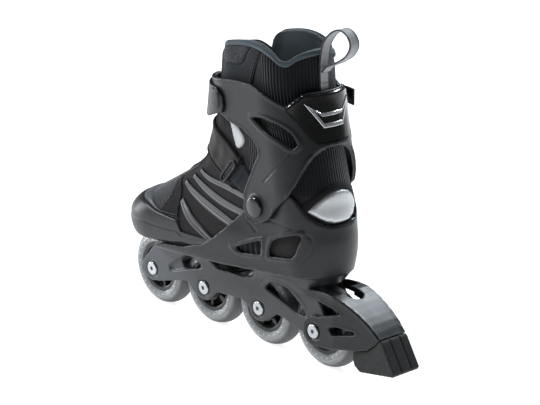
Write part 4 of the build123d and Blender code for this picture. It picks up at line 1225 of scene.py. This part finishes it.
for points, width, height, closed in SHELL_LINES:
    press(shell, points, width, height, closed)
dress(shell, "shell", "chassis")
heel_bead = on_side(through([(-106, 170.5), (-112, 165), (-120, 155), (-128, 148), (-134, 144)]), 1.7, 1)
other_bead = heel_bead * [1, -1, 1]
back = on_rear([(y, 143 + 0.0012 * y * y) for y in np.linspace(20, -20, 21)], 1.7)
beads = [through(np.vstack([heel_bead[:-3:3], back[:: 2], other_bead[:-3:3][::-1]]), 4)]
dress(curve_mesh("heel_opening_bead", beads, 1.1), "binding", "chassis")


# ---------------------------------------------------------------- cuff
cuff = moulded("cuff_shell", "cuff", 1.0, 14)
for line in CUFF_LINES:
    press(cuff, *line)
dress(cuff, "cuff", "cuff_body")

WRAP_RADIUS = 46
PANEL = [(-122, 221), (-115, 231), (-108, 242), (-98.5, 253), (-104.5, 259.5), (-110, 266)]
PANEL_GROWTH = 8.9
CHEVRON = mirrored([(27, 258), (13, 248.5)]) + mirrored([(-12, 235)])
CHEVRON_HOLE = mirrored([(20.5, 252.3), (12.3, 245.3)]) + mirrored([(-11.2, 239)])
CHEVRON_PROFILE = [(0, -0.3), (0, 0.45), (0.16, 0.85), (0.84, 0.85), (1, 0.45), (1, -0.3)]


def wrapped(p, grow):
    """Unrolled points (round the heel, height) laid on the grown boot."""
    heel_x, heel_r = egg(p[:, 1])[:2]
    angle = p[:, 0] / WRAP_RADIUS
    return np.column_stack([
        heel_x - (heel_r + grow) * np.cos(angle), (heel_r + grow) * np.sin(angle), p[:, 1],
    ])


def unrolled(points, grow, rear_view):
    """Side-view (X, Z) or rear-view (Y, Z) points, unrolled round the heel."""
    p = np.array(points, float)
    heel_x, heel_r = egg(p[:, 1])[:2]
    reach = p[:, 0] / (heel_r + grow) if rear_view else (heel_x - p[:, 0]) / (heel_r + grow)
    angle = np.arcsin(reach) if rear_view else np.arccos(np.clip(reach, -1, 1))
    return np.column_stack([angle * WRAP_RADIUS, p[:, 1]])


def dense(points, per):
    """The closed outline with straight runs cut into steps."""
    p = np.array(points, float)
    t = np.arange(per)[:, None] / per
    return np.vstack([a + (b - a) * t for a, b in zip(p, np.roll(p, -1, 0))])


def make_panel():
    """Glossy back panel, wrapped round the heel side of the cuff."""
    half = unrolled(PANEL, PANEL_GROWTH, False)
    outline = dense(np.vstack([half, half[::-1] * [-1, 1]]), 20)
    return patch("back_panel_gloss", outline, wrapped, PANEL_GROWTH, 5.9, spacing=1.5, soft=0.9)


def make_chevron():
    """Bevelled metal frame in the shape of a chevron."""
    rim = dense(unrolled(CHEVRON, PANEL_GROWTH, True), 12)
    hole = dense(unrolled(CHEVRON_HOLE, PANEL_GROWTH, True), 12)
    rows = [wrapped(rim + (hole - rim) * across, PANEL_GROWTH + lift) for across, lift in CHEVRON_PROFILE]
    points = np.stack(rows, 1).reshape(-1, 3)
    return new_piece("chevron_frame", points, closed_faces(len(rim), len(rows)), None, 25)


panel = make_panel()
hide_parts("back_panel")
dress(panel, "panel", "cuff_body")
chevron = make_chevron()
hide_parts("chevron_trim")
dress(chevron, "chevron", "cuff_body")

CAP_FACE, CAP_DOME, CAP_RADIUS = 46.5, 1.3, 9.5
for word in ("inner", "outer"):
    cap = moulded(f"pivot_cap_{word}", f"pivot_rivet_{word}", 0.5, 6)
    side = 1 if word == "inner" else -1
    co = coordinates(cap.data)
    away = np.hypot(co[:, 0] - PIVOT[0], co[:, 2] - PIVOT[1])
    face = co[:, 1] * side > CAP_FACE
    co[face, 1] += side * CAP_DOME * np.cos(np.clip(away[face] / CAP_RADIUS, 0, 1) * np.pi / 2)
    move_to(cap.data, co)
    dress(cap, "cap", "chassis")


# ---------------------------------------------------------------- cuff strap and buckle
strap = moulded("cuff_strap_moulded", "cuff_strap", 0.8, 10)
dress(strap, "strap", "cuff_body")
for name, node, look, body, voxel, slot in (
    ("buckle_frame", "buckle_base", "buckle", "cuff_body", 0.4, "buckle_plastic"),
    ("buckle_handle", "buckle_lever", "buckle", "lever_body", 0.4, "buckle_plastic"),
    ("buckle_pawl", "release_pawl", "pawl", "pawl_body", 0.3, "pawl_plastic"),
):
    dress(moulded(name, node, voxel, 6), look, body)

STRAP_PAD = [
    (-17.5, 256), (-19.5, 249), (-18.5, 241.5), (-14, 239), (-4, 240.5), (-2, 248), (-4, 257), (-11, 258),
]
strap_pad = patch(
    "strap_end_pad", through(STRAP_PAD, 4, True), side_place(1), 12.2, 10.2, spacing=1.2, soft=2.5,
)
dress(strap_pad, "strap", "cuff_body")


# ---------------------------------------------------------------- pull loop
LOOP_PATH = [
    (-110.4, 262), (-109.3, 284), (-109.5, 294), (-113, 310), (-122, 321), (-133, 326),
    (-143, 323), (-148, 314), (-143, 304), (-131, 296), (-118, 290), (-112, 284),
]
LOOP_HALF = 5.8


def make_loop():
    """Webbing loop with thick dark selvedges, folded over and sewn behind the collar."""
    line = through(LOOP_PATH, 12)
    run = np.gradient(line, axis=0)
    run /= np.linalg.norm(run, axis=1)[:, None]
    out = np.column_stack([-run[:, 1], run[:, 0]])
    length = np.concatenate([[0], np.cumsum(np.linalg.norm(np.diff(line, axis=0), axis=1))])
    t = np.linspace(-1, 1, 25)
    bead = 0.35 * ramp(np.abs(t), 0.72, 0.8) * ramp(1 - np.abs(t), -0.1, 0.06)
    skins = []
    for face in (1, -1):
        lift = face * (0.5 + bead)[:, None]
        x = line[None, :, 0] + lift * out[None, :, 0]
        z = line[None, :, 1] + lift * out[None, :, 1]
        skins.append(np.stack(np.broadcast_arrays(x, (t * LOOP_HALF)[:, None], z), -1))
    flat = np.stack(np.broadcast_arrays(length[None, :], (t * LOOP_HALF)[:, None]), -1)
    return slab("pull_loop_webbing", skins[0], skins[1], flat, 60)


loop = make_loop()
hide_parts("pull_loop")
dress(loop, "loop", "cuff_body")


def loop_stitch_line(x, z):
    y = np.linspace(-4.2, 4.2, 15)
    return np.column_stack([np.full(15, x), y, np.full(15, z)])


for number, (x, z) in enumerate([(-111.3, 283.5), (-111.3, 273), (-112.6, 289)], start=1):
    row = stitches(f"loop_stitches_{number}", loop_stitch_line(x, z), 0.3, 1.4, 0.5, 0.3)
    dress(row, "stitch", "cuff_body")


# ---------------------------------------------------------------- wheels
def lathe(name, profile, axle_x, steps=128):
    """Ring turned about an axle from (radius, Y) points, closed."""
    p = np.array(profile, float)
    turn = np.linspace(0, 2 * np.pi, steps, endpoint=False)
    x = axle_x + p[None, :, 0] * np.cos(turn)[:, None]
    z = AXLE_Z + p[None, :, 0] * np.sin(turn)[:, None]
    y = p[None, :, 1] * np.ones((steps, 1))
    points = np.stack([x, y, z], -1).reshape(-1, 3)
    return new_piece(name, points, closed_faces(steps, len(p)), None, TURNED_SHARP)


WHEEL_RADIUS = 40
CROWN_DEPTH, CROWN_HALF, CROWN_START = 9.1, 11.3, 1.42


def tyre_profile():
    """Round crown, a moulded step, a raised side lip and the seat on the core."""
    half = [(26.0, 9.6), (26.6, 10.6), (28.0, 11.2), (30.0, 11.7), (30.8, 11.9), (31.4, 11.7), (32.0, 11.45)]
    side = half + [
        (WHEEL_RADIUS - CROWN_DEPTH * (1 - math.cos(a)), CROWN_HALF * math.sin(a))
        for a in np.linspace(CROWN_START, 0, 14)
    ]
    return side + [(r, -y) for r, y in side[-2::-1]]


def spoke(axle_x, angle):
    """Tapered arm between the bearing seat and the rim of a core."""
    widths, depths = (2.9, 2.2, 2.9), (8.6, 7.0, 7.6)
    radii = (13.6, 18.2, 23.0)
    c, s = math.cos(angle), math.sin(angle)
    points = []
    for radius, width, depth in zip(radii, widths, depths):
        for a in np.linspace(0, 2 * np.pi, 12, endpoint=False):
            w = width * math.copysign(abs(math.cos(a)) ** 0.5, math.cos(a))
            y = depth * math.copysign(abs(math.sin(a)) ** 0.5, math.sin(a))
            points.append((axle_x + radius * c - w * s, y, AXLE_Z + radius * s + w * c))
    faces = grid_faces(3, 12, 0, wrap=True) + [list(range(12))[::-1], list(range(24, 36))]
    return new_piece("spoke", np.array(points), faces, None, 50)


# Core sections as (radius, Y): the ring under the tyre, the bearing seat and the ledge between the bearings.
RIM_PROFILE = [(22, -9), (22, 9), (23, 9.5), (25.95, 9.5), (25.95, -9.5), (23, -9.5)]
SEAT_PROFILE = [(11, -11.8), (11, 11.8), (13.9, 11.8), (14.5, 11.2), (14.5, -11.2), (13.9, -11.8)]
LEDGE_PROFILE = [(9.6, -4.9), (9.6, 4.9), (11.2, 4.9), (11.2, -4.9)]
SPOKES = 6
SPOKE_TURN = 0.3
DOTS = 24
DOT_RING, DOT_FACE, DOT_RADIUS, DOT_RISE = 28.9, 11.35, 0.75, 0.35


def make_wheel(number, axle_x):
    """Tyre with a side lip and dots, spoked core."""
    tyre = lathe(f"wheel_{number}_tyre", tyre_profile(), axle_x)
    tyre.data.materials.append(urethane(f"urethane_{number}", axle_x))
    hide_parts(f"tyre_{number}")
    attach(tyre, f"wheel_{number}")
    rim = lathe("rim", RIM_PROFILE, axle_x)
    seat = lathe("seat", SEAT_PROFILE, axle_x, 96)
    ledge = lathe("ledge", LEDGE_PROFILE, axle_x, 96)
    arms = [spoke(axle_x, 2 * math.pi * i / SPOKES + SPOKE_TURN * number) for i in range(SPOKES)]
    core = joined(f"wheel_{number}_core", [rim, seat, ledge] + arms)
    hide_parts(f"wheel_hub_{number}")
    dress(core, "hub", f"wheel_{number}")
    dots = []
    for side in (1, -1):
        for i in range(DOTS):
            a = 2 * math.pi * i / DOTS
            c = np.array([axle_x + DOT_RING * math.cos(a), side * DOT_FACE, AXLE_Z + DOT_RING * math.sin(a)])
            dots.append(np.array([c, c + [0, side * DOT_RISE, 0]]))
    made = curve_mesh(f"wheel_{number}_dots", dots, DOT_RADIUS, sides=2)
    dress(made, "steel", f"wheel_{number}")


for number, axle_x in enumerate(AXLES_X, start=1):
    make_wheel(number, axle_x)


# ---------------------------------------------------------------- brake
arm = moulded("brake_arm_moulded", "brake_arm", 1.0, 22)
for line in ARM_LINES:
    press(arm, *line)
dress(arm, "brake_arm", "chassis")
PAD_GROOVES = (-6.5, 6.5)
PAD_GROOVE_HALF, PAD_GROOVE_DEPTH = 1.3, 1.0
pad = moulded("brake_pad_rubber", "brake_pad", 0.9, 8)
co, normals = coordinates(pad.data), vertex_normals(pad.data)
rear_face = normals[:, 0] < -0.5
for y in PAD_GROOVES:
    near = ramp(1 - np.abs(co[:, 1] - y) / PAD_GROOVE_HALF, 0, 1) * rear_face
    co = co + normals * (-PAD_GROOVE_DEPTH * near)[:, None]
move_to(pad.data, co)
press(pad, [(-172, 21), (-190, 24), (-212, 33)], 1.2, -0.5)
dress(pad, "pad", "chassis")

# ---------------------------------------------------------------- metal parts kept from the frame
KEPT = {
    "insole": "insole", "axle_nuts": "zinc", "brake_screw": "zinc", "strap_ring": "dark_metal",
    "buckle_rivets": "zinc", "lever_pin": "steel", "pawl_pin": "steel",
}
for i in range(1, 5):
    KEPT[f"axle_bolt_{i}"] = "zinc"
    KEPT[f"bearings_{i}"] = "steel"
    KEPT[f"bearing_spacer_{i}"] = "steel"
for node, look in KEPT.items():
    kept = NODES[node]
    kept.data.materials.clear()
    kept.data.materials.append(LOOKS[look])

# ---------------------------------------------------------------- floor, light and camera
CAMERA_TURN, CAMERA_RISE = 0.828602, 0.296845
CAMERA_DISTANCE = 1836.5
AIM = np.array([0.0, 0.0, 150.0])
AIM_RIGHT, AIM_UP = 24.83, -15.31
LENS, SENSOR = 125.9, 36


def make_camera():
    back = np.array([
        -math.sin(CAMERA_TURN) * math.cos(CAMERA_RISE), math.cos(CAMERA_TURN) * math.cos(CAMERA_RISE),
        math.sin(CAMERA_RISE),
    ])
    right = np.array([-math.cos(CAMERA_TURN), -math.sin(CAMERA_TURN), 0])
    up = np.cross(back, right)
    place = (AIM + right * AIM_RIGHT + up * AIM_UP + back * CAMERA_DISTANCE) * MM
    data = bpy.data.cameras.new("camera")
    data.sensor_width = SENSOR
    data.lens = LENS
    camera = link("camera", data)
    turn = Matrix((right, up, back)).transposed().to_4x4()
    camera.matrix_world = Matrix.Translation(place) @ turn
    bpy.context.scene.camera = camera


LIGHT_AIM = Vector((0, 0, 0.15))
FLOOR_HALF, FLOOR_GLOW, WORLD_GLOW = 12, 0.82, 0.1


def soft_light(name, place, size, power, colour=(1, 1, 1)):
    data = bpy.data.lights.new(name, "AREA")
    data.shape = "RECTANGLE"
    data.size, data.size_y = size
    data.energy = power
    data.color = colour
    light = link(name, data)
    light.location = place
    light.rotation_mode = "QUATERNION"
    light.rotation_quaternion = (LIGHT_AIM - Vector(place)).to_track_quat("-Z", "Y")


def make_floor():
    corners = np.array([(-1, -1, 0), (1, -1, 0), (1, 1, 0), (-1, 1, 0)]) * FLOOR_HALF / MM
    floor = new_piece("floor", corners, [[0, 1, 2, 3]])
    look = Look("studio_floor", (0.93, 0.93, 0.93), 0.8)
    look.paint(look.noise(400, 2), (0.6, 0.6, 0.6), (0.62, 0.62, 0.62))
    look.fix(Emission_Color=(1, 1, 1, 1), Emission_Strength=FLOOR_GLOW)
    floor.data.materials.append(look.done())


def make_world():
    world = bpy.data.worlds.new("studio")
    bpy.context.scene.world = world
    world.use_nodes = True
    background = world.node_tree.nodes["Background"]
    background.inputs["Color"].default_value = (1, 1, 1, 1)
    background.inputs["Strength"].default_value = WORLD_GLOW


make_camera()
make_floor()
make_world()
soft_light("key", (1.3, 1.2, 1.6), (0.45, 0.45), 34, (0.93, 0.97, 1))
soft_light("top_rear", (0.2, -1.5, 1.3), (1.2, 0.25), 36, (0.85, 0.93, 1))
soft_light("left_edge", (1.7, 0.5, 0.35), (0.25, 0.8), 12, (0.93, 0.97, 1))
bpy.context.scene.view_settings.view_transform = "Standard"
